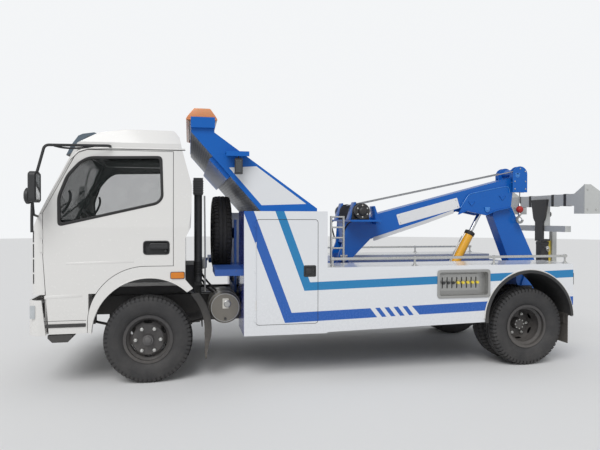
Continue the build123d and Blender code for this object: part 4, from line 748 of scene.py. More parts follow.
bowl = cut_plate("handle_rim_left", [bowl_edge(0.004, 0.034), bowl_edge(-0.006, 0.026)], -0.9585, 0.006,
                 0.002)
bowl_wall = cut_plate("handle_wall", [bowl_edge(-0.0008, 0.030), bowl_edge(-0.0045, 0.026)], -0.9275,
                      0.0325)
floor_plate = cut_plate("handle_floor", [bowl_edge(-0.0008, 0.030)], -0.9265, 0.003)
pull = cut_plate("handle_pull",
                 [softened([(0.004, 1.236), (0.184, 1.232), (0.184, 1.284), (0.020, 1.288)], 0.016)],
                 -0.948, 0.012, 0.004)
pressed(pull, "y", -1, 0.008, (0, 0.003, 0))
lock = turned("handle_lock", [(0.030, 0.0), (0.030, 0.012), (-0.004, 0.012), (-0.0055, 0.009),
                              (-0.0035, 0.007), (-0.0035, 0.0)], (at(0.158), -0.958, 1.212), steps=20)
handle = joined("door_handle_left", [bowl, bowl_wall, floor_plate, pull, lock])
pair(smooth(handle), black_plastic, "cab_door_left", "black_plastic")

# Door skin: two creases pressed into the sheet, a dark seam near its foot
# and a black strip along its lower edge.


def block(name, low, high, edge):
    """A block between two corners, with eased edges."""
    bpy.ops.object.select_all(action="DESELECT")
    middle = [(a + b) / 2 for a, b in zip(low, high)]
    bpy.ops.mesh.primitive_cube_add(size=1, location=middle)
    piece = bpy.context.object
    piece.name = name
    piece.scale = [b - a for a, b in zip(low, high)]
    settle(piece)
    return eased(piece, edge)


for index, (x0, x1, z0, z1) in enumerate(((-0.70, -0.12, 1.098, 1.122), (-0.875, -0.56, 0.800, 0.830))):
    crease = block("door_crease_%d_left" % index, (at(x0), -0.9650, z0), (at(x1), -0.957, z1), 0.0045)
    for vertex in crease.data.vertices:
        share = (vertex.co.x - at(x0)) / (x1 - x0)
        vertex.co.z += 0.012 * share
        vertex.co.y += 0.004 * abs(2 * share - 1) ** 4
    pair(smooth(crease, 80), body_white, "cab_door_left", "body_white")
foot_seam = block("door_foot_seam_left", (at(-0.880), -0.9608, 0.604), (at(-0.528), -0.957, 0.608), 0.0008)
pair(foot_seam, seal_rubber, "cab_door_left", "black_plastic")
foot_strip = cut_plate("door_foot_strip_left",
                       [softened([(-0.868, 0.548), (-0.532, 0.548), (-0.530, 0.580), (-0.868, 0.580)],
                                 0.008)], -0.959, 0.007, 0.002)
pair(foot_strip, black_plastic, "cab_door_left", "black_plastic")

# Wheel arch lip: the cab's sheet steel turned out round the wheel in a narrow flange,
# painted with the cab.
ARCH = (0.010, 0.475)


def arc_points(middle, radius, first, last, steps):
    span = [first + (last - first) * index / steps for index in range(steps + 1)]
    return [(middle[0] + radius * cos(radians(angle)), middle[1] + radius * sin(radians(angle)))
            for angle in span]


lip_outline = arc_points(ARCH, 0.4925, 47, 179, 36) + arc_points(ARCH, 0.503, 179, 47, 36)
arch_lip = cut_plate("arch_lip_left", [lip_outline], -0.957, 0.010, 0.003)
pair(smooth(arch_lip), body_white, "cab", "body_white")

# Side marker lamps: ribbed amber lenses in black moulded bases,
# fixed to the cab's side behind the doors.
amber = Finish("amber lens")
ribs = (amber.x * 900.0).wave() * 0.5 + 0.5
amber.feed("Base Color", amber.mix(ribs, tint(0.55, 0.14, 0.01), tint(0.85, 0.30, 0.03)))
amber.feed("Roughness", amber.noise(60) * 0.1 + 0.12)
amber.feed("Normal", amber.bump(ribs, 0.0006))
marker = cut_plate("side_marker_left", [softened(box_outline(0.205, 0.325, 0.962, 1.018), 0.014)], -0.958,
                   0.016, 0.005)
pair(smooth(marker), amber, "cab", "lamp_plastic")
marker_base = cut_plate("side_marker_base_left", [softened(box_outline(0.200, 0.330, 0.957, 1.023), 0.016)],
                        -0.958, 0.006, 0.002)
pair(marker_base, black_plastic, "cab", "black_plastic")

# Front corner louvres: four upright air slots cut where the side turns into the nose,
# drawn as black pieces: painted shade inside the slots.
CORNER_X, CORNER_Y, CORNER_R = -0.873, -0.830, 0.130
CORNER_TURN = radians(48)
slots = []
for z0, z1 in ((0.935, 1.020), (1.035, 1.150), (1.165, 1.285), (1.300, 1.400)):
    slot = block("slot", (-0.004, -0.006, z0), (0.004, 0.002, z1), 0.002)
    corner = Matrix.Translation((at(CORNER_X), CORNER_Y, 0)) @ Matrix.Rotation(-CORNER_TURN, 4, "Z")
    slot.data.transform(corner @ Matrix.Translation((0, -CORNER_R, 0)))
    slots.append(slot)
pair(joined("corner_louvres_left", slots), seal_rubber, "cab", "black_plastic")


def nose_x(z):
    """The cab's front surface at a height, measured from the front axle."""
    corners = [(0.840, -0.985), (1.120, -1.000), (1.430, -0.975), (2.190, -0.610), (2.290, -0.440)]
    for (z0, x0), (z1, x1) in zip(corners, corners[1:]):
        if z <= z1:
            return x0 + (x1 - x0) * (z - z0) / (z1 - z0)
    return corners[-1][1]


def nose_plate(name, outlines, thickness, edge, sunk):
    """A plate drawn as (Y, Z) and laid on the cab's nose."""
    plate = cut_plate(name, [[(y + AXLE_AHEAD, z) for y, z in points] for points in outlines], 0.0,
                      thickness, edge)
    for vertex in plate.data.vertices:
        y = vertex.co.x
        proud = vertex.co.y
        vertex.co = (at(nose_x(vertex.co.z)) - proud + sunk, y, vertex.co.z)
    return outward(plate)


# Windscreen seal of black rubber pressed round the glass, two wipers on bosses below it,
# and the grille's white bars in their frame.
SCREEN = [(-0.810, 1.475), (0.810, 1.475), (0.760, 2.120), (-0.760, 2.120)]
screen_seal = nose_plate("windscreen_seal",
                         [softened(grown(SCREEN, 0.018), 0.10, 8),
                          softened(grown(SCREEN, -0.022), 0.08, 8)], 0.024, 0.004, sunk=0.014)
fitted(smooth(screen_seal), seal_rubber, "cab", "black_plastic")
wiper_parts = []
for foot_y, tip_y in ((-0.55, -0.08), (0.10, 0.57)):
    foot = (at(nose_x(1.45)) - 0.030, foot_y, 1.452)
    knee = (at(nose_x(1.50)) - 0.034, foot_y + 0.05, 1.500)
    mid = (at(nose_x(1.60)) - 0.032, (foot_y + tip_y) / 2, 1.600)
    wiper_parts.append(pipe("wiper", [foot, knee, mid], 0.006, 8))
    ends = [(foot_y - 0.02, 1.502), (tip_y + 0.13, 1.688)]
    blade = [(at(nose_x(z)) - 0.020, y, z) for y, z in ends]
    wiper_parts.append(pipe("wiper", blade, 0.007, 8))
    boss = turned("wiper", [(0.0, 0.0), (0.0, 0.020), (0.014, 0.020), (0.020, 0.014), (0.020, 0.0)], foot,
                  (-1, 0, 0), 20)
    wiper_parts.append(boss)
fitted(smooth(joined("wipers", wiper_parts)), black_plastic, "cab", "black_plastic")
bars = []
for index in range(6):
    z0 = 0.990 + index * 0.050
    bars.append(nose_plate("bar", [softened(box_outline(-0.69, 0.69, z0, z0 + 0.030), 0.012)], 0.014, 0.004,
                           sunk=-0.008))
frame_bar = nose_plate("bar", [softened(box_outline(-0.735, 0.735, 0.955, 1.305), 0.045),
                               softened(box_outline(-0.705, 0.705, 0.980, 1.285), 0.030)], 0.020, 0.005,
                       sunk=-0.006)
fitted(smooth(joined("grille_bars", bars + [frame_bar])), body_white, "cab", "body_white")

# Visor of smoked acrylic on capped bolts over the windscreen, made as one trim piece
# with the black moulded steps and the grille's base.
trim = painted("trim plastic", tint(0.028, 0.029, 0.031), 0.45, dust=0.3, mottle=0.1, grain=(420.0, 0.0004))
VISOR_LOW_Z = 2.0
visor_part = trim.z > VISOR_LOW_Z
trim.feed("Base Color", trim.mix(visor_part, trim.base(), tint(0.115, 0.150, 0.185)))
trim.feed("Roughness", visor_part * -0.34 + 0.48)
dress(trim, "cab_trim")
VISOR_HALF = 0.745
visor_caps = [turned("visor_caps", [(0.0, 0.0), (0.0, 0.022), (0.005, 0.022), (0.009, 0.016), (0.009, 0.0)],
                     (at(-0.535), side * VISOR_HALF, 2.247), (0, side, 0), 24) for side in (-1, 1)]
fitted(smooth(joined("visor_caps", visor_caps)), black_plastic, "cab", "black_plastic")

# Glass: clear panes with a faint green tone, bedded in the seals
# and seen through to the cab's inside.
glass = Finish("clear glass")
facing = glass.add("ShaderNodeLayerWeight", {}, {"Blend": 0.25}, "Fresnel")
haze = glass.noise(5, 4)
glass.feed("Base Color", glass.mix(haze, tint(0.012, 0.018, 0.017), tint(0.025, 0.034, 0.032)))
glass.feed("Roughness", haze * 0.04 + 0.01)
glass.feed("Alpha", (facing * 0.6 + haze * 0.06 + 0.16).clamp())
dress(glass, "cab_glass", "door_glass_left", "door_glass_right")

# Mirrors: a silvered pane in a dark moulded surround on each arm, a round wide-angle one
# before it, and a tubular tail and brace that tie the arm to the cab.
silvered = Finish("mirror pane")
silver_film = silvered.noise(12, 3)
silvered.feed("Base Color", silvered.mix(silver_film, tint(0.72, 0.74, 0.76), tint(0.80, 0.82, 0.84)))
silvered.feed("Metallic", 1.0)
silvered.feed("Roughness", silver_film * 0.05 + 0.02)
MIRROR_Y = -1.105
pane = block("mirror_pane_left", (at(-0.891), MIRROR_Y - 0.076, 1.668),
             (at(-0.886), MIRROR_Y + 0.076, 1.882), 0.0015)
pair(pane, silvered, "cab", "bright_steel")
surround = block("mirror_surround_left", (at(-0.897), MIRROR_Y - 0.088, 1.655),
                 (at(-0.883), MIRROR_Y + 0.088, 1.895), 0.006)
pressed(surround, "x", 1, 0.010, (-0.006, 0, 0))
pair(surround, black_plastic, "cab", "black_plastic")
round_profile = [(0.0, 0.0), (0.0, 0.060), (-0.010, 0.068), (-0.030, 0.068), (-0.042, 0.050), (-0.046, 0.0)]
round_back = turned("round_mirror_left", round_profile, (at(-0.940), MIRROR_Y - 0.02, 1.699), (1, 0, 0), 28)
pair(smooth(round_back), black_plastic, "cab", "black_plastic")
tail_arm = pipe("mirror_tail_left", [(at(-0.930), MIRROR_Y, 1.665), (at(-0.940), MIRROR_Y + 0.01, 1.55),
                                     (at(-0.940), MIRROR_Y + 0.02, 1.392)], 0.014, 10, bend=1)
pair(tail_arm, black_plastic, "cab", "black_plastic")
brace = pipe("mirror_brace_left",
             [(at(-0.764), MIRROR_Y + 0.023, 2.132), (at(-0.641), MIRROR_Y + 0.070, 2.097),
              (at(-0.455), MIRROR_Y + 0.127, 2.150)], 0.009, 10, bend=1)
pair(brace, black_plastic, "cab", "black_plastic")

# Roof: a short black moulded base for an aerial,
# bolted to the steel near the roof's front edge.
aerial = block("aerial_base", (at(-0.36), -0.30, 2.285), (at(-0.26), -0.24, 2.345), 0.012)
pressed(aerial, "z", 1, 0.006, (0.01, 0, 0.014))
fitted(smooth(aerial), black_plastic, "cab", "black_plastic")

# Cab inside: gauges, a binnacle and vents on the moulded dashboard, grab handles on the pillars,
# and cloth seats over foam.
gauge_parts = []
for gauge_y in (-0.52, -0.43, -0.34):
    gauge_parts.append(turned("gauge", [(0.0, 0.0), (0.0, 0.036), (0.006, 0.040), (0.012, 0.036),
                                        (0.008, 0.032), (0.004, 0.0)], (at(-0.665), gauge_y, 1.400),
                              (0.90, 0, 0.43), 24))
binnacle = block("binnacle", (at(-0.80), -0.60, 1.425), (at(-0.675), -0.26, 1.475), 0.02)
pressed(binnacle, "x", 1, 0.010, (-0.03, 0, 0))
vents = [block("vent", (at(-0.670), y - 0.06, 1.345), (at(-0.652), y + 0.06, 1.385), 0.008)
         for y in (-0.68, 0.0, 0.25, 0.66)]
fitted(smooth(joined("dash_trim", gauge_parts + [binnacle] + vents)), black_plastic, "cab", "black_plastic")
grips = []
for side in (-1, 1):
    grips.append(pipe("grip", [(at(-0.748), side * 0.865, 1.56), (at(-0.715), side * 0.850, 1.59),
                               (at(-0.665), side * 0.842, 1.72), (at(-0.690), side * 0.855, 1.76)], 0.012,
                      10, bend=1))
fitted(joined("grab_handles", grips), black_plastic, "cab", "black_plastic")

cloth = Finish("seat cloth")
weave = (cloth.x * 1400.0).wave() * (cloth.y * 1400.0).wave()
fleck = cloth.noise(160, 4, 0.7)
tone = cloth.noise(3, 4)
cloth_base = cloth.mix((fleck * 0.9 + tone * 0.5 - 0.3).clamp(), tint(0.040, 0.044, 0.055),
                       tint(0.085, 0.092, 0.110))
cloth.feed("Base Color", cloth_base)
cloth.feed("Roughness", fleck * 0.1 + 0.85)
cloth.shader.inputs["Sheen Weight"].default_value = 0.3
cloth.feed("Normal", cloth.bump(weave * 0.5 + fleck, 0.0008))

# Columns: name, first Y, last Y, first X, last X, lowest Z, highest Z
SEAT_PADS = [
    ("driver_cushion", -0.680, -0.190, -0.330, 0.170, 1.100, 1.250),
    ("bench_cushion", -0.110, 0.680, -0.330, 0.170, 1.100, 1.250),
    ("driver_back", -0.670, -0.200, 0.095, 0.215, 1.240, 1.850),
    ("bench_back", -0.100, 0.670, 0.095, 0.215, 1.240, 1.850)]
BACK_LEAN = 0.175


def seat_pad(name, y0, y1, x0, x1, z0, z1):
    """A foam pad with sewn channels: a block rounded, split across, swelled and seamed."""
    back = "back" in name
    inset = 0.012
    pad = block(name, (at(x0) + inset, y0 + inset, z0 + inset * (not back) * 0.2),
                (at(x1) - inset, y1 - inset, z1 - inset), 0.028)
    shape(pad, "REMESH", mode="VOXEL", voxel_size=0.011)
    swell = pad.modifiers.new("foam", "CLOTH")
    swell.settings.use_pressure = True
    swell.settings.uniform_pressure_force = 4
    swell.settings.effector_weights.gravity = 0
    rest = [vertex.co.copy() for vertex in pad.data.vertices]
    scene = bpy.context.scene
    for step in range(1, 21):
        scene.frame_set(step)
    only(pad)
    bpy.ops.object.modifier_apply(modifier=swell.name)
    scene.frame_set(1)
    cap = 0.012
    for vertex, start in zip(pad.data.vertices, rest):
        moved = vertex.co - start
        if moved.length > cap:
            vertex.co = start + moved * (cap / moved.length)
    seams = [y0 + (y1 - y0) * share for share in ((0.22, 0.78) if y1 - y0 < 0.6 else (0.14, 0.5, 0.86))]
    low, high = (z0, z1) if back else (at(x0), at(x1))
    cross = [low + (high - low) * share for share in ((0.35, 0.72) if back else (0.33, 0.66))]
    for vertex in pad.data.vertices:
        run = vertex.co.z if back else vertex.co.x
        face = (vertex.co.x < at(x0) + 0.045) if back else (vertex.co.z > z1 - 0.05)
        depth = sum(0.008 * max(0.0, 1 - abs(vertex.co.y - seam) / 0.016) for seam in seams)
        depth += sum(0.006 * max(0.0, 1 - abs(run - seam) / 0.014) for seam in cross)
        if face:
            if back:
                vertex.co.x += depth
            else:
                vertex.co.z -= depth
        if back:
            vertex.co.x += BACK_LEAN * (vertex.co.z - z0)
        else:
            vertex.co.z += 0.02 * max(0.0, (at(x0) + 0.15 - vertex.co.x) / 0.15)
    shape(pad, "SUBSURF", levels=1, render_levels=1)
    smooth(pad, 80)
    return pad


for row in SEAT_PADS:
    pad = seat_pad(*row)
    fitted(pad, cloth, "cab", "seat_fabric", "seats")

# Bumper: the same white pressing, with square headlamps, flashers, fog lamps, side lenses
# and a bare plate fixed onto it.
lens = Finish("lamp lens")
flutes = (lens.y * 420.0).wave() * 0.5 + 0.5
lens.feed("Base Color", lens.mix(flutes, tint(0.55, 0.58, 0.60), tint(0.80, 0.83, 0.85)))
lens.feed("Roughness", flutes * 0.08 + 0.05)
lens.feed("Metallic", 0.35)
lens.feed("Coat Weight", 0.8)
lens.feed("Normal", lens.bump(flutes, 0.0008))
red_lens = Finish("red lens")
red_ribs = (red_lens.z * 700.0).wave() * (red_lens.y * 700.0).wave() * 0.5 + 0.5
red_lens.feed("Base Color", red_lens.mix(red_ribs, tint(0.28, 0.008, 0.006), tint(0.60, 0.03, 0.02)))
red_lens.feed("Roughness", red_ribs * 0.1 + 0.1)
red_lens.feed("Normal", red_lens.bump(red_ribs, 0.0005))
lamp_mix = painted("lamp bodies", tint(0.030, 0.030, 0.032), 0.4, dust=0.25, mottle=0.1,
                   grain=(200.0, 0.0003))
dress(lamp_mix, "lamps")
glass_block = block("headlamp_glass_left", (at(-1.022), -0.850, 0.602), (at(-1.012), -0.660, 0.738), 0.010)
pressed(glass_block, "x", -1, 0.012, (0.004, 0, 0))
glass_block.data.transform(Matrix.Translation((0.004, 0.0, 0)))
pair(smooth(glass_block), lens, "chassis", "lamp_plastic")
flasher = block("front_flasher_left", (at(-1.018), -0.652, 0.602), (at(-1.008), -0.562, 0.738), 0.008)
pair(smooth(flasher), amber, "chassis", "lamp_plastic")
fog = turned("fog_lamp_left", [(0.0, 0.0), (0.0, 0.045), (-0.003, 0.045), (-0.005, 0.040), (-0.002, 0.036),
                               (-0.004, 0.0)], (at(-1.0149), -0.66, 0.535), (1, 0, 0), 28)
pair(smooth(fog), lens, "chassis", "lamp_plastic")
wrap = []
for z in (0.560, 0.770):
    wrap.append(block("bumper_line", (at(-1.0195), -0.80, z), (at(-1.0160), 0.80, z + 0.008), 0.0015))
fitted(joined("bumper_lines", wrap), body_white, "chassis", "body_white")
front_plate = block("front_plate", (at(-1.0198), -0.220, 0.510), (at(-1.0165), 0.220, 0.650), 0.0015)
pressed(front_plate, "x", -1, 0.006, (0.0008, 0, 0))
plate_blue = painted("bare plate", tint(0.10, 0.16, 0.34), 0.35, coat=0.3, dust=0.2, mottle=0.05,
                     grain=(300.0, 0.0002))
fitted(front_plate, plate_blue, "chassis", "body_blue")
side_lens = block("bumper_side_lens_left", (at(-0.995), -0.9605, 0.632), (at(-0.952), -0.952, 0.748), 0.004)
pair(smooth(side_lens), lens, "chassis", "lamp_plastic")

# Behind the cab: the air intake with its ribs and bellows, an air pipe, a filter bowl with hoses,
# and the round tank with its bands, cap, drain and bare label.
intake_ribs = [block("intake_rib", (at(0.405), -0.765, 1.755 + 0.022 * i),
                     (at(0.505), -0.595, 1.762 + 0.022 * i), 0.002) for i in range(6)]
fitted(joined("intake_ribs", intake_ribs), black_plastic, "chassis", "black_plastic")
bellows = []
for index in range(9):
    z = 0.96 + index * 0.016
    bellows.append(turned("bellows", [(-0.006, 0.036), (-0.006, 0.041), (0.0, 0.046), (0.006, 0.041),
                                      (0.006, 0.036)], (at(0.455), -0.680, z), (0, 0, 1), 24))
fitted(smooth(joined("intake_bellows", bellows)), seal_rubber, "chassis", "black_plastic")
bright = painted("bare steel", tint(0.50, 0.50, 0.49), 0.33, metal=0.85, dust=0.35, mottle=0.15,
                 grain=(160.0, 0.0003))
thin_pipe = pipe("air_pipe", [(at(0.52), -0.70, 0.80), (at(0.52), -0.72, 1.2), (at(0.515), -0.72, 1.73)],
                 0.008, 10)
fitted(thin_pipe, bright, "chassis", "bright_steel")
reservoir = turned("filter_bowl", [(-0.055, 0.0), (-0.055, 0.030), (-0.045, 0.040), (0.02, 0.042),
                                   (0.03, 0.048), (0.05, 0.048), (0.055, 0.02), (0.055, 0.0)],
                   (at(0.50), -0.62, 1.075), (0, 0, 1), 28)
fitted(smooth(reservoir), bright, "chassis", "bright_steel")
hoses = []
for x, y, z0, x1, z1 in ((0.44, -0.58, 0.93, 0.60, 0.78), (0.47, -0.62, 1.02, 0.63, 0.80),
                         (0.50, -0.55, 0.90, 0.66, 0.73)):
    hoses.append(pipe("hose", [(at(x), y, z0), (at(x + 0.02), y - 0.04, z0 - 0.06),
                               (at(x1 - 0.05), y - 0.02, z1 + 0.05), (at(x1), y, z1)], 0.011, 10, bend=1))
fitted(joined("coolant_hoses", hoses), seal_rubber, "chassis", "black_plastic")
tank_steel = painted("tank paint", tint(0.22, 0.205, 0.18), 0.34, metal=0.6, dust=0.45, mottle=0.12,
                     grain=(120.0, 0.0003))
dress(tank_steel, "tanks")
TANK_X, TANK_Z = 0.705, 0.664
tank_parts = []
for y in (-0.780, -0.520):
    tank_parts.append(turned("tank_band", [(-0.018, 0.149), (-0.018, 0.153), (0.018, 0.153),
                                           (0.018, 0.149)], (at(TANK_X), y, TANK_Z), steps=48))
cap_ring = turned("tank_cap", [(0.0, 0.0), (0.0, 0.034), (-0.006, 0.034), (-0.010, 0.028), (-0.016, 0.026),
                               (-0.018, 0.0)], (at(TANK_X + 0.02), -0.848, TANK_Z + 0.035), steps=28)
rim_ring = turned("tank_rim", [(0.004, 0.128), (0.004, 0.136), (-0.005, 0.134), (-0.005, 0.129)],
                  (at(TANK_X), -0.848, TANK_Z), steps=48)
fitted(smooth(joined("tank_fittings", tank_parts + [cap_ring, rim_ring])), bright, "chassis",
       "bright_steel")
tank_label = cut_plate("tank_label", [softened(box_outline(0.680, 0.738, 0.655, 0.752), 0.006)], -0.8500,
                       0.0012, 0.0003)
paper = painted("bare label", tint(0.66, 0.64, 0.58), 0.7, dust=0.3, mottle=0.06, grain=(300.0, 0.0002))
fitted(tank_label, paper, "chassis", "body_white")
holder_outline = [softened(box_outline(0.670, 0.748, 0.645, 0.770), 0.008)]
holder = cut_plate("tank_label_holder", holder_outline, -0.8485, 0.0014, 0.0003)
drain = turned("tank_drain", [(0.002, 0.0), (0.002, 0.012), (-0.012, 0.012), (-0.016, 0.008),
                              (-0.016, 0.0)], (at(0.705), -0.850, 0.560), steps=20)
fitted(joined("tank_label_holder", [holder, drain]), black_plastic, "chassis", "black_plastic")

# Wrecker body: sheet-steel lockers and skirts in white, with a blue front face painted darker as its shade,
# and blue and teal bands laid over both sides.
BLUE = tint(0.004, 0.118, 0.48)
DEEP_BLUE = tint(0.005, 0.098, 0.43)
TEAL = tint(0.002, 0.200, 0.46)
FRONT_FACE, SIDE_FACE = 0.8615, 1.070
DOOR_FRONT, DOOR_TOP = 0.855, 1.577
BAND_RISE = 0.026
DEEP_START, DEEP_LOW, DEEP_TOP = 1.27, 0.541, 0.632
DEEP_LEAN, DEEP_TAIL, DEEP_FOOT = 0.374, 0.953, 0.60
TEAL_START, TEAL_LOW, TEAL_WIDTH = 1.45, 0.836, 0.078
TEAL_LEAN, TEAL_NOSE, TEAL_TAIL, TEAL_FOOT = 0.371, 1.152, 1.236, 0.86
# The level blue band stops, gives way to four slanting bars and goes on behind them
STOP_X, STOP_LEAN = 2.115, 0.78
BARS_NOSE, BARS_TAIL, BAR_PITCH, BAR_SHARE = 2.165, 2.52, 0.0947, 0.50
AGAIN_X, AGAIN_LEAN = 2.555, 0.90


def striped(name):
    """White body paint with the bands of the side view: X and Z of each edge in metres."""
    look = painted(name, tint(0.76, 0.775, 0.80), 0.25, coat=0.5, dust=0.20, mottle=0.015,
                   grain=(4.0, 0.0003))
    base = look.base()
    x = look.x + AXLE_AHEAD
    z = look.z
    rise = (x - DEEP_START) * BAND_RISE
    level = (z > rise + DEEP_LOW) * (z < rise + DEEP_TOP)
    on_side = (look.y.size() - SIDE_FACE) > 0.0
    drop = z * -1.0 + DOOR_TOP
    deep_x = x - drop * DEEP_LEAN
    slope_deep = deep_x.within(DOOR_FRONT, DEEP_TAIL) * (z > DEEP_FOOT)
    lead = x + (z - DEEP_FOOT) * STOP_LEAN
    tail = x + (z - DEEP_FOOT) * AGAIN_LEAN
    corner = (deep_x > DOOR_FRONT) * (lead < STOP_X)
    one_bar = (lead - BARS_NOSE).over(BAR_PITCH).fraction().within(0.0, BAR_SHARE)
    bars = one_bar * lead.within(BARS_NOSE, BARS_TAIL)
    deep = (slope_deep + level * (corner + bars + (tail > AGAIN_X))).clamp()
    teal_x = x - drop * TEAL_LEAN
    teal_low = (x - TEAL_START) * BAND_RISE + TEAL_LOW
    teal_flat = (z > teal_low) * (z < teal_low + TEAL_WIDTH) * (teal_x > TEAL_NOSE)
    teal_slope = teal_x.within(TEAL_NOSE, TEAL_TAIL) * (z > TEAL_FOOT)
    teal = (teal_flat + teal_slope).clamp()
    base = look.mix(deep * on_side, base, DEEP_BLUE)
    base = look.mix(teal * on_side, base, TEAL)
    # The blue front face is painted darker than the other blues: painted shade.
    nose = look.x < at(FRONT_FACE)
    base = look.mix(nose, base, tint(0.030, 0.045, 0.26))
    look.feed("Base Color", base)
    return look


banded = striped("banded body paint")
dress(banded, "toolboxes", "side_bodies", "toolbox_door_left", "toolbox_door_right")
blue_paint = painted("blue paint", BLUE, 0.30, coat=0.2, dust=0.2, mottle=0.06, grain=(5.0, 0.0003))
blue_paint.shader.inputs["Specular IOR Level"].default_value = 0.3
deck_blue = painted("deck paint", tint(0.020, 0.085, 0.33), 0.45, dust=0.3, mottle=0.12,
                    grain=(60.0, 0.0005), worn=tint(0.10, 0.09, 0.08))
dress(deck_blue, "deck", "spare_carrier")
dress(blue_paint, "boom", "boom_fork", "boom_gussets", "boom_head")
dress(black_plastic, "mudguards")

# Toolbox doors: a rubber edge, a paddle latch and a key in a black dish,
# and two hinges of three knuckles each.
DOOR_EDGE = box_outline(0.975, 1.555, 0.530, 1.500)
door_edge = cut_plate("toolbox_edge_left",
                      [softened(grown(DOOR_EDGE, 0.0045), 0.028),
                       softened(grown(DOOR_EDGE, 0.0008), 0.026)], -1.070, 0.0085)
pair(door_edge, seal_rubber, "chassis", "black_plastic")
LATCH_X, LATCH_Z = 1.480, 1.020
dish = block("latch_dish", (at(LATCH_X - 0.058), -1.0815, LATCH_Z - 0.053),
             (at(LATCH_X + 0.058), -1.068, LATCH_Z + 0.053), 0.004)
pressed(dish, "y", -1, 0.010, (0, 0.0085, 0))
chosen(dish, lambda middle, normal: abs(normal.y) < 0.2 and abs(middle.z - LATCH_Z) < 0.001
       and abs(middle.x - at(LATCH_X)) > 0.055)
bpy.ops.transform.resize(value=(1, 1, 0.62), center_override=(at(LATCH_X), -1.0815, LATCH_Z))
closed()
paddle = block("latch_paddle", (at(LATCH_X - 0.040), -1.0805, LATCH_Z - 0.026),
               (at(LATCH_X + 0.018), -1.071, LATCH_Z + 0.026), 0.004)
key = turned("latch_key", [(0.004, 0.0), (0.004, 0.010), (-0.003, 0.010), (-0.004, 0.008), (-0.004, 0.0)],
             (at(LATCH_X + 0.034), -1.074, LATCH_Z), steps=18)
pair(smooth(joined("latch_left", [dish, paddle, key])), black_plastic, "toolbox_door_left", "black_plastic")
hinge_barrels = []
for z in (0.71, 1.25):
    knuckle = turned("hinge", [(-0.045, 0.0), (-0.045, 0.0047), (-0.0152, 0.0047), (-0.015, 0.0040),
                               (-0.0148, 0.0047), (0.0148, 0.0047), (0.015, 0.0040), (0.0152, 0.0047),
                               (0.045, 0.0047), (0.045, 0.0)], (at(0.972), -1.084, z), (0, 0, 1), 16)
    hinge_barrels.append(knuckle)
pair(smooth(joined("toolbox_hinges_left", hinge_barrels)), body_white, "chassis", "body_white")

# Lever boxes: a pressed steel surround, a slotted plate, and levers with yellow knobs
# or black grips.
lever_steel = painted("lever plate", tint(0.42, 0.42, 0.41), 0.38, metal=0.75, dust=0.25, mottle=0.1,
                      grain=(160.0, 0.0003))
# Inward of the plate's face the box turns near black: painted shade in the slots.
shaded_slots = lever_steel.y.size() < 1.015
lever_steel.feed("Base Color", lever_steel.mix(shaded_slots, lever_steel.base(), tint(0.03, 0.03, 0.03)))
dress(lever_steel, "lever_boxes")
knob_yellow = painted("knob yellow", tint(0.80, 0.62, 0.06), 0.3, dust=0.1, mottle=0.08,
                      grain=(200.0, 0.0002))
KNOB = [(0.016, 0.0), (0.016, 0.0125), (0.010, 0.0135), (0.004, 0.0150), (-0.006, 0.0155), (-0.014, 0.0125),
        (-0.0150, 0.0)]


def knob_row(name, first, last):
    knobs = [turned("knob", KNOB, (at(2.835 + 0.052 * index), -1.070, 0.878), steps=16)
             for index in range(first, last)]
    return smooth(joined(name, knobs))


pair(knob_row("lever_knobs_left", 3, 8), knob_yellow, "chassis", "cylinder_yellow")
pair(knob_row("lever_grips_left", 0, 3), black_plastic, "chassis", "black_plastic")
surround_outline = box_outline(2.762, 3.333, 0.727, 1.008)
lever_rim = cut_plate("lever_rim_left",
                      [softened(surround_outline, 0.035), softened(grown(surround_outline, -0.026), 0.025)],
                      -1.080, 0.010, 0.004)
pair(smooth(lever_rim), lever_steel, "chassis", "wire_steel")

# Handrails: polished tube along the top of each side body,
# with a flanged foot and a knuckle on every post.
dress(plated, "handrails")
feet = []
for post_x in (1.720, 2.560, 3.420, 4.240):
    collar = turned("foot", [(0.0, 0.0), (0.0, 0.031), (0.004, 0.031), (0.009, 0.016), (0.020, 0.014),
                             (0.020, 0.0)], (at(post_x), -1.0, 1.0502), (0, 0, 1), 24)
    knuckle = turned("foot", [(-0.018, 0.0), (-0.018, 0.012), (-0.013, 0.0175), (0.013, 0.0175),
                              (0.018, 0.012), (0.018, 0.0)], (at(post_x), -1.0, 1.125), (1, 0, 0), 20)
    feet += [collar, knuckle]
pair(smooth(joined("handrail_fittings_left", feet)), plated, "chassis", "bright_steel")

# Light mast: blue side plates with a bare white panel painted on each,
# joined at the rear by a sheet of chequered aluminium.
mast_paint = painted("mast paint", BLUE, 0.34, dust=0.1, mottle=0.06, grain=(5.0, 0.0003))
mast_paint.shader.inputs["Specular IOR Level"].default_value = 0.3
mast_x = mast_paint.x + AXLE_AHEAD
PANEL = [(0.727, 1.977), (0.979, 1.994), (1.449, 1.650), (1.027, 1.635)]
inside = None
for index, (x0, z0) in enumerate(PANEL):
    x1, z1 = PANEL[(index + 1) % 4]
    edge = (mast_x - x0) * (z1 - z0) - (mast_paint.z - z0) * (x1 - x0)
    half = edge > 0.0
    inside = half if inside is None else inside * half
inside = inside * (mast_paint.y.size() > 1.046)
mast_paint.feed("Base Color", mast_paint.mix(inside, mast_paint.base(), tint(0.74, 0.755, 0.78)))
dress(mast_paint, "light_mast")
chequer = painted("chequered aluminium", tint(0.30, 0.305, 0.315), 0.48, metal=0.7, dust=0.1, mottle=0.25,
                  grain=(60.0, 0.0006))
LOZENGE = 0.030
BAR_HALF_WIDE, BAR_HALF_LONG = 0.16, 0.62
along = chequer.y * (1 / LOZENGE)
up = chequer.z * (1 / LOZENGE) * 1.35
cell_a = along.fraction() - 0.5
cell_b = up.fraction() - 0.5
row = (along.whole() + up.whole()).bounce()
first = cell_a + cell_b
second = cell_a - cell_b
bar_a = (first.size() < BAR_HALF_WIDE) * (second.size() < BAR_HALF_LONG)
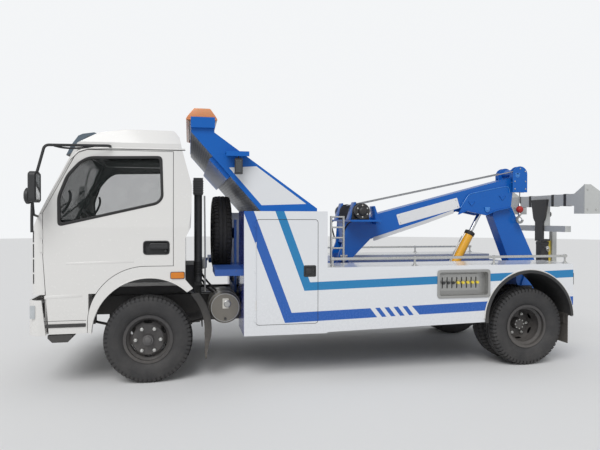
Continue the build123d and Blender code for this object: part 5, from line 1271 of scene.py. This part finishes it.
bar_b = (second.size() < BAR_HALF_WIDE) * (first.size() < BAR_HALF_LONG)
tread = row * bar_a + (1.0 - row) * bar_b
chequer.feed("Normal", chequer.bump(tread, 0.0022))
# The raised bars are painted lighter than the sheet: painted highlight on the tread.
chequer.feed("Base Color", chequer.mix(tread, chequer.base(), tint(0.56, 0.57, 0.58)))
dress(chequer, "mast_panel")

# Light bar: a long amber lens of moulded ribs, parted into bays by dark bands,
# on a base of the same plastic with two feet.
LIGHT_BAR = [(0.343, 2.459), (0.632, 2.459), (0.628, 2.471), (0.572, 2.551), (0.560, 2.557), (0.420, 2.557),
             (0.408, 2.551), (0.347, 2.471)]
BAYS = 8
BAY = 1.600 / BAYS
peach = Finish("beacon lens")
peach_ribs = (peach.y * 420.0).wave() * 0.5 + 0.5
# Lighter towards the top of the lens: painted highlight where the sky falls on it.
peach_up = ((peach.z - 2.45) * 10.0).clamp()
peach.feed("Base Color", peach.mix(peach_ribs * 0.5 + peach_up * 0.4, tint(0.70, 0.24, 0.08),
                                   tint(0.98, 0.52, 0.28)))
peach.feed("Roughness", peach.noise(30) * 0.12 + 0.14)
peach.shader.inputs["Subsurface Weight"].default_value = 0.15
peach.feed("Coat Weight", 0.5)
peach.feed("Normal", peach.bump(peach_ribs, 0.0015))
bays = []
parting = []
for index in range(BAYS):
    low = -0.800 + BAY * index
    bay = cut_plate("bay", [LIGHT_BAR], 0.0, BAY - 0.008, 0.004)
    bay.data.transform(Matrix.Translation((0, low + 0.004, 0)))
    bays.append(bay)
    if index:
        seam = cut_plate("seam", [grown(LIGHT_BAR, -0.004)], 0.0, 0.012)
        seam.data.transform(Matrix.Translation((0, low - 0.006, 0)))
        parting.append(seam)
fitted(smooth(joined("beacon_lens", bays)), peach, "chassis", "lamp_plastic", "light_bar")
fitted(joined("beacon_seams", parting), black_plastic, "chassis", "black_plastic")
base_rim = block("beacon_base", (at(0.341), -0.800, 2.445), (at(0.634), 0.800, 2.461), 0.004)
pressed(base_rim, "z", -1, 0.030, (0, 0, 0.008))
bar_feet = [block("foot", (at(0.430), y - 0.040, 2.425), (at(0.550), y + 0.040, 2.450), 0.003)
            for y in (-0.50, 0.50)]
fitted(joined("beacon_rack", [base_rim] + bar_feet), peach, "chassis", "lamp_plastic", "light_bar")

# Work lamps: black cased lamps under the mast's shelves,
# each with a smoked pane in a raised rim and cooling fins on top.
lamp_pane = block("work_lamp_glass_left", (at(0.781), -1.1585, 1.925), (at(0.834), -1.152, 2.040), 0.006)
pressed(lamp_pane, "y", -1, 0.008, (0, 0.003, 0))
smoked = painted("smoked lamp pane", tint(0.05, 0.055, 0.06), 0.08, coat=1.0, dust=0.1, mottle=0.1,
                 grain=(200.0, 0.0001))
pair(smooth(lamp_pane), smoked, "chassis", "lamp_plastic")
fins = [block("fin", (at(0.776 + 0.011 * i), -1.150, 2.049), (at(0.780 + 0.011 * i), -1.092, 2.060), 0.001)
        for i in range(6)]
pair(joined("work_lamp_fins_left", fins), black_plastic, "chassis", "black_plastic")

# Rear lamps: red, amber and clear moulded bays in one black case on each side,
# with a reflector and a bare plate below.
for label, y0, y1, look in (("stop", -1.052, -0.975, red_lens), ("turn", -0.968, -0.890, amber),
                            ("back", -0.883, -0.808, lens)):
    bay = block("rear_%s_left" % label, (at(4.298), y0, 0.840), (at(4.309), y1, 0.940), 0.007)
    pressed(bay, "x", 1, 0.008, (-0.002, 0, 0))
    pair(smooth(bay), look, "chassis", "lamp_plastic")
reflector = turned("rear_reflector_left", [(0.0, 0.0), (0.0, 0.032), (0.004, 0.032), (0.007, 0.028),
                                           (0.005, 0.024), (0.006, 0.0)], (at(4.280), -0.900, 0.470),
                   (1, 0, 0), 28)
pair(smooth(reflector), red_lens, "chassis", "lamp_plastic")
rear_plate = block("rear_plate", (at(4.280), -0.680, 0.435), (at(4.285), -0.300, 0.495), 0.0015)
pressed(rear_plate, "x", 1, 0.005, (-0.001, 0, 0))
fitted(rear_plate, plate_blue, "chassis", "body_blue")

# Fenders and flaps: the skirt's sheet turned out round the rear wheels, rubber flaps behind them,
# and a rubber lip round the edge of the front mudguards.
FENDER = (3.775, 0.495)
fender_lip = cut_plate("fender_lip_left",
                       [arc_points(FENDER, 0.4955, 2, 178, 40) + arc_points(FENDER, 0.508, 178, 2, 40)],
                       -1.078, 0.012, 0.004)
pair(smooth(fender_lip), body_white, "chassis", "body_white")
flap_rubber = painted("flap rubber", tint(0.020, 0.020, 0.021), 0.65, dust=0.7, mottle=0.15,
                      grain=(90.0, 0.0004))
flap = block("rear_flap_left", (at(4.240), -1.045, 0.215), (at(4.250), -0.600, 0.520), 0.003)
pressed(flap, "x", 1, 0.020, (-0.003, 0, 0))
flap_bar = block("flap_bar", (at(4.236), -1.045, 0.500), (at(4.254), -0.600, 0.525), 0.003)
pair(joined("rear_flap_left", [flap, flap_bar]), flap_rubber, "chassis", "black_plastic")
guard_edge = arc_points(ARCH, 0.500, 42, -4, 16) + [(0.512, 0.400), (0.514, 0.215), (0.530, 0.212),
                                                    (0.548, 0.330), (0.572, 0.420)]
guard_edge += arc_points(ARCH, 0.566, 0, 38, 14)
guard_lip = cut_plate("guard_lip_left", [guard_edge], -0.9255, 0.010, 0.003)
pair(smooth(guard_lip), flap_rubber, "chassis", "black_plastic")

# Boom: blue box section with a bare white plate bolted onto each flank, a pale flange along
# its lower edge, folded lips round the gussets and turned pins with keepers at every pivot.
plate_white = painted("bare sign plate", tint(0.82, 0.82, 0.82), 0.4, coat=0.2, dust=0.15, mottle=0.04,
                      grain=(80.0, 0.0002))
SIGN = [(2.708, 1.559), (3.462, 1.761), (3.500, 1.641), (2.744, 1.437)]
sign = cut_plate("sign_plate_left", [softened(SIGN, 0.012)], -0.1202, 0.0030, 0.0008)
sign_bolts = [make_nut("sign_bolt", (at(x), -0.1235, z), 0.006, 0.004) for x, z in grown(SIGN, -0.024)]
pair(sign, plate_white, "boom", "body_white")
pair(joined("sign_bolts_left", sign_bolts), plated, "boom", "bright_steel")


def edge_strip(name, points, width, y, thickness):
    """A strip that follows the lower edge of a plate."""
    upper = [(x, z + width) for x, z in reversed(points)]
    return cut_plate(name, [list(points) + upper], y, thickness, min(width, thickness) * 0.2)


flange_grey = painted("bare lower flange", tint(0.66, 0.66, 0.66), 0.5, dust=0.2, mottle=0.1,
                      grain=(120.0, 0.0005))
pair(edge_strip("boom_seam_left", [(2.430, 1.2620), (2.446, 1.2600), (3.087, 1.462), (3.420, 1.577)],
                0.042, -0.1202, 0.0045), flange_grey, "boom", "body_white")
drum_guard = cut_plate("drum_guard_left",
                       [softened([(2.384, 1.650), (2.396, 1.655), (2.466, 1.452), (2.408, 1.452)], 0.004)],
                       -0.1205, 0.160, 0.003)
pair(drum_guard, blue_paint, "boom", "body_blue")
GUSSET_EDGE = [(3.473, 1.562), (3.572, 1.603), (3.727, 1.573), (3.828, 1.553), (3.951, 1.605),
               (4.155, 1.647)]
lip = edge_strip("gusset_lip_left", GUSSET_EDGE, 0.008, -0.1355, 0.020)
pad_parts = []
for x, z in ((3.640, 1.690), (4.040, 1.760)):
    pad_parts.append(cut_plate("pad",
                               [softened([(x - 0.045, z + 0.030), (x, z - 0.030), (x + 0.045, z + 0.030),
                                          (x, z + 0.005)], 0.006)], -0.1355, 0.009, 0.002))
pair(smooth(joined("gusset_lip_left", [lip] + pad_parts)), blue_paint, "boom", "body_blue")
# A lighter blue bead along each gusset's upper edge: painted highlight where the edge catches light.
HIGHLIGHT_LINE = [(3.500, 1.640), (3.582, 1.765), (3.600, 1.792), (3.636, 1.812), (3.800, 1.846), (4.080, 1.902),
        (4.118, 1.898), (4.132, 1.870), (4.140, 1.828)]
gusset_highlight = pipe("gusset_weld_left", [(at(x), -0.1362, z) for x, z in HIGHLIGHT_LINE], 0.005, 8, bend=1)
# A lighter copy of the boom's blue, as painted highlight on the gusset edges and the boom's pin ends.
lit_blue = painted("lit blue paint", tint(0.05, 0.24, 0.66), 0.3, coat=0.3, dust=0.1, mottle=0.06,
                    grain=(40.0, 0.0003))
pair(gusset_highlight, lit_blue, "boom", "body_blue")
PIN_END = [(0.006, 0.0), (0.006, 0.037), (-0.004, 0.037), (-0.008, 0.033), (-0.008, 0.018), (-0.014, 0.016),
           (-0.017, 0.010), (-0.017, 0.0)]
# Columns: name, X, Y of the pin's end, Z, size, body
for label, x, y, z, size, body in (("boom_pivot", 2.070, -0.166, 1.065, 1.0, "chassis"),
                                   ("lift_eye", 3.842, -0.144, 1.620, 0.8, "boom"),
                                   ("fold_pin", 4.6765, -0.116, 0.530, 1.0, "boom"),
                                   ("sheave_pin", 4.205, -0.192, 2.030, 0.75, "boom"),
                                   ("lift_base", 3.430, -0.078, 0.850, 0.8, "chassis")):
    ends = turned(label + "_left", [(run * size, radius * size) for run, radius in PIN_END], (at(x), y, z),
                  steps=28)
    keeper = block("keeper", (at(x) - 0.042 * size, y - 0.006, z + 0.016 * size),
                   (at(x) + 0.042 * size, y + 0.001, z + 0.040 * size), 0.002)
    # Pins on the boom take the lighter blue as painted highlight; the others are plated.
    pin_look, pin_slot = (lit_blue, "body_blue") if body == "boom" else (plated, "bright_steel")
    pair(smooth(joined(label + "_left", [ends, keeper])), pin_look, body, pin_slot)

# Boom head: plated bolts round the sheave housings
# and round bars that keep the ropes on their sheaves.
HOUSING_BOLTS = [(4.170, 1.870), (4.310, 1.870), (4.170, 1.960), (4.310, 1.960), (4.240, 2.112),
                 (4.305, 2.080)]
head_bolts = [make_nut("head_bolt", (at(x), -0.1945, z), 0.009, 0.007) for x, z in HOUSING_BOLTS]
pair(joined("head_bolts_left", head_bolts), plated, "boom", "bright_steel")
keepers = [pipe("rope_keeper", [(at(x), -0.183, z), (at(x), -0.129, z)], 0.006, 12)
           for x, z in ((4.285, 2.060), (4.170, 1.950))]
pair(joined("rope_keepers_left", keepers), plated, "boom", "bright_steel")

# Winches: drums full of wound wire rope between plates, each with a bolted motor outboard
# and a hydraulic hose that runs back along the boom's root.
wire = painted("wire rope", tint(0.34, 0.34, 0.33), 0.42, metal=0.75, dust=0.25, mottle=0.25,
               grain=(320.0, 0.0003))
wire_lay = ((wire.x + wire.z * 0.5) * 620.0 + wire.y * 260.0).wave() * 0.5 + 0.5
wire_tone = wire.base()
ball_zone = wire.z.within(1.583, 1.669) * (wire.x > 2.28)
wire.feed("Base Color", wire.mix(ball_zone, wire.mix(wire_lay * 0.5, wire_tone, tint(0.42, 0.42, 0.41)),
                                 tint(0.42, 0.018, 0.012)))
wire.feed("Metallic", 0.75 - ball_zone * 0.75)
wire.feed("Normal", wire.bump(wire_lay, 0.0012))
dress(wire, "winch_drum_left", "winch_drum_right", "tow_ropes")
dress(chassis_paint, "winches")
DRUM_X, DRUM_Z = 2.206, 1.592
TURNS = 9
COIL_HALF = 0.057
TURN_PITCH = 2 * COIL_HALF / TURNS
ROPE_BED = 0.0655
WOUND = [(COIL_HALF, ROPE_BED)]
for index in range(TURNS):
    start_y = COIL_HALF - TURN_PITCH * index
    WOUND += [(start_y - TURN_PITCH * share, ROPE_BED + rise)
              for share, rise in ((0.12, 0.0030), (0.5, 0.0060), (0.88, 0.0030), (1.0, 0.0))]
WOUND += [(-COIL_HALF, 0.060), (COIL_HALF, 0.060), (COIL_HALF, ROPE_BED)]
wound = turned("wound_rope_left", WOUND, (at(DRUM_X), -0.260, DRUM_Z), steps=48)
pair(smooth(wound, 50), wire, "winch_drum_left", "wire_steel")
motor_bolt = make_nut("motor_bolts_left", (at(DRUM_X), -0.4185, DRUM_Z + 0.062), 0.009, 0.009)
motor_bolts = around(motor_bolt, "motor_bolts_left", (at(DRUM_X), -0.4185, DRUM_Z), (0, 1, 0), 6)
pair(motor_bolts, plated, "boom", "bright_steel")
motor_cap = turned("motor_cap_left", [(0.004, 0.0), (0.004, 0.048), (-0.010, 0.048), (-0.022, 0.040),
                                      (-0.030, 0.026), (-0.030, 0.0)], (at(DRUM_X), -0.4145, DRUM_Z),
                   steps=32)
pair(smooth(motor_cap), chassis_paint, "boom", "chassis_black")
wedge = cut_plate("winch_guard_left",
                  [softened([(2.085, 1.500), (2.100, 1.500), (2.165, 1.690), (2.150, 1.696)], 0.004)],
                  -0.190, 0.140, 0.002)
pair(wedge, blue_paint, "boom", "body_blue")
motor_hose = pipe("winch_hose_left", [(at(2.190), -0.380, 1.520), (at(2.130), -0.400, 1.500),
                                      (at(2.060), -0.380, 1.470), (at(2.045), -0.250, 1.380),
                                      (at(2.050), -0.170, 1.290)], 0.009, 12, bend=1)
pair(motor_hose, seal_rubber, "boom", "black_plastic")

# Hooks: a forged hook with a sprung latch, on a plated swivel and collar
# under a red weight ball.
HOOK_X, HOOK_Y = 4.259, -0.156
latch_bar = cut_plate("hook_latch_left",
                      [softened([(4.246, 1.553), (4.254, 1.556), (4.296, 1.510), (4.288, 1.504)], 0.003)],
                      -0.152, 0.008, 0.001)
swivel = turned("swivel", [(-0.016, 0.0), (-0.016, 0.017), (-0.010, 0.021), (0.010, 0.021), (0.016, 0.017),
                           (0.016, 0.0)], (at(HOOK_X), HOOK_Y, 1.568), (0, 0, 1), 20)
collar = turned("collar", [(-0.010, 0.0), (-0.010, 0.016), (0.0, 0.019), (0.022, 0.011), (0.030, 0.009),
                           (0.030, 0.0)], (at(HOOK_X), HOOK_Y, 1.672), (0, 0, 1), 20)
pair(smooth(joined("hook_latch_left", [latch_bar, swivel, collar])), plated, "boom", "bright_steel")

# Lift cylinder: an orange-yellow barrel with a black gland and end ring, a chromed rod,
# and two steel pipes clamped along the barrel.
barrel_paint = painted("cylinder paint", tint(0.96, 0.46, 0.02), 0.3, coat=0.4, dust=0.2, mottle=0.08,
                       grain=(40.0, 0.0004), worn=tint(0.14, 0.10, 0.07))
chrome = painted("chromed rod", tint(0.72, 0.73, 0.74), 0.12, metal=1.0, dust=0.06, mottle=0.05,
                 grain=(400.0, 0.0001))
dress(barrel_paint, "lift_barrel")
dress(chrome, "lift_rod")
CYLINDER_BASE = Vector((at(3.430), 0, 0.850))
CYLINDER_AXIS = Vector((0.471776, 0, 0.881718))
CYLINDER_SIDE = Vector((-0.881718, 0, 0.471776))


def on_barrel(run, out, y):
    """A point so far along the cylinder and so far out on its front side."""
    return tuple(CYLINDER_BASE + CYLINDER_AXIS * run + CYLINDER_SIDE * out + Vector((0, y, 0)))


gland = turned("gland", [(0.530, 0.030), (0.530, 0.0595), (0.545, 0.0610), (0.572, 0.0610), (0.576, 0.056),
                         (0.582, 0.040), (0.585, 0.030), (0.530, 0.030)], CYLINDER_BASE, CYLINDER_AXIS, 40)
base_ring = turned("gland", [(0.060, 0.050), (0.060, 0.059), (0.072, 0.060), (0.090, 0.060), (0.096, 0.055),
                             (0.096, 0.050), (0.060, 0.050)], CYLINDER_BASE, CYLINDER_AXIS, 40)
fitted(smooth(joined("barrel_rings", [gland, base_ring])), seal_rubber, "lift_barrel", "black_plastic")
feed_pipes = [pipe("feed", [on_barrel(0.12, 0.058, y), on_barrel(0.20, 0.066, y), on_barrel(0.48, 0.066, y),
                            on_barrel(0.52, 0.057, y)], 0.006, 10, bend=1) for y in (-0.018, 0.018)]
tilt = CYLINDER_SIDE.to_track_quat("X", "Y").to_matrix().to_4x4()
clamps = []
for run in (0.24, 0.44):
    clamp = block("clamp", (-0.010, -0.034, -0.008), (0.016, 0.034, 0.008), 0.003)
    clamp.data.transform(Matrix.Translation(Vector(on_barrel(run, 0.060, 0))) @ tilt)
    clamps.append(clamp)
fitted(smooth(joined("barrel_pipes", feed_pipes + clamps)), bright, "lift_barrel", "bright_steel")

# Folding stinger: black box sections with ribs, a bare sliding face, a locking pin with a ring,
# a yellow scale bar behind and a plated swivel nut.
dress(chassis_paint, "stinger_outer", "stinger_inner")
scale_bar = block("stinger_scale", (at(4.729), -0.010, 0.985), (at(4.789), 0.010, 1.245), 0.003)
chosen(scale_bar, lambda middle, normal: abs(normal.y) > 0.9)
bpy.ops.mesh.inset(thickness=0.006)
bpy.ops.mesh.extrude_region_shrink_fatten(TRANSFORM_OT_shrink_fatten={"value": -0.002})
closed()
fitted(scale_bar, knob_yellow, "stinger_outer", "cylinder_yellow")
lock_pin = turned("lock_pin", [(0.0, 0.0), (0.0, 0.013), (-0.050, 0.013), (-0.054, 0.020), (-0.064, 0.020),
                               (-0.068, 0.014), (-0.068, 0.0)], (at(4.6765), -0.045, 1.160), steps=20)
pull_ring = pipe("lock_pin",
                 [(at(4.6765) + 0.020 * cos(radians(a)), -0.116, 1.140 + 0.022 * sin(radians(a)))
                  for a in range(0, 390, 30)], 0.003, 8)
outer_rib = [block("rib", (at(4.620), -0.0525, z), (at(4.733), 0.0525, z + 0.030), 0.004)
             for z in (0.700, 1.196)]
fitted(smooth(joined("stinger_pin", [lock_pin, pull_ring])), plated, "stinger_outer", "bright_steel")
fitted(joined("stinger_ribs", outer_rib), chassis_paint, "stinger_outer", "chassis_black")
swivel_nut = turned("swivel_nut", [(0.0, 0.0), (0.0, 0.030), (0.008, 0.034), (0.020, 0.034), (0.026, 0.028),
                                   (0.026, 0.0)], (at(4.764), 0, 1.570), (1, 0, 0), 6)
fitted(swivel_nut, plated, "stinger_inner", "bright_steel")
slide_grease = block("slide_grease", (at(4.634), -0.0395, 1.190), (at(4.719), 0.0395, 1.238), 0.002)
fitted(slide_grease, bright, "stinger_inner", "bright_steel")

# Wheel cradle: welded steel in pale aged grey paint with rust at its edges,
# with plated bolts on the scoops and black straps round the cross bar.
cradle_paint = painted("aged grey paint", tint(0.52, 0.53, 0.52), 0.5, dust=0.35, mottle=0.12,
                       grain=(50.0, 0.0006), worn=tint(0.13, 0.055, 0.025))
dress(cradle_paint, "wheel_cradle")
cradle_bolts = []
for x, y, z in ((4.690, -0.7715, 1.620), (4.690, -0.7715, 1.840), (4.800, -0.7715, 1.620)):
    cradle_bolts.append(make_nut("cradle_bolt", (at(x), y, z), 0.010, 0.008))
bolts_left = joined("cradle_bolts_left", cradle_bolts)
fitted(opposite(bolts_left, "cradle_bolts_right"), plated, "wheel_cradle", "bright_steel")
fitted(bolts_left, plated, "wheel_cradle", "bright_steel")
straps = []
for side in (-1, 1):
    for y in (0.20, 0.42):
        low, high = sorted((side * y, side * (y + 0.045)))
        straps.append(block("strap", (at(4.651), low, 1.661), (at(4.737), high, 1.804), 0.004))
fitted(joined("cradle_straps", straps), chassis_paint, "wheel_cradle", "chassis_black")

# Underneath: steel brake pipes along the left rail
# and a black brake chamber before each rear wheel.
brake_pipes = []
for y in (-0.300, -0.280):
    run = [(at(x), y, z) for x, z in ((0.20, 0.745), (1.2, 0.748), (2.4, 0.748), (3.4, 0.745))]
    brake_pipes.append(pipe("brake_pipe", run, 0.005, 8))
fitted(joined("brake_pipes", brake_pipes), bright, "chassis", "bright_steel")
chamber = turned("brake_chamber_left", [(-0.055, 0.0), (-0.055, 0.055), (-0.045, 0.066), (-0.004, 0.070),
                                        (-0.004, 0.076), (0.004, 0.076), (0.004, 0.070), (0.040, 0.064),
                                        (0.050, 0.030), (0.085, 0.024), (0.085, 0.0)],
                 (at(3.620), -0.240, 0.470), (1, 0, 0), 32)
pair(smooth(chamber), chassis_paint, "chassis", "chassis_black")
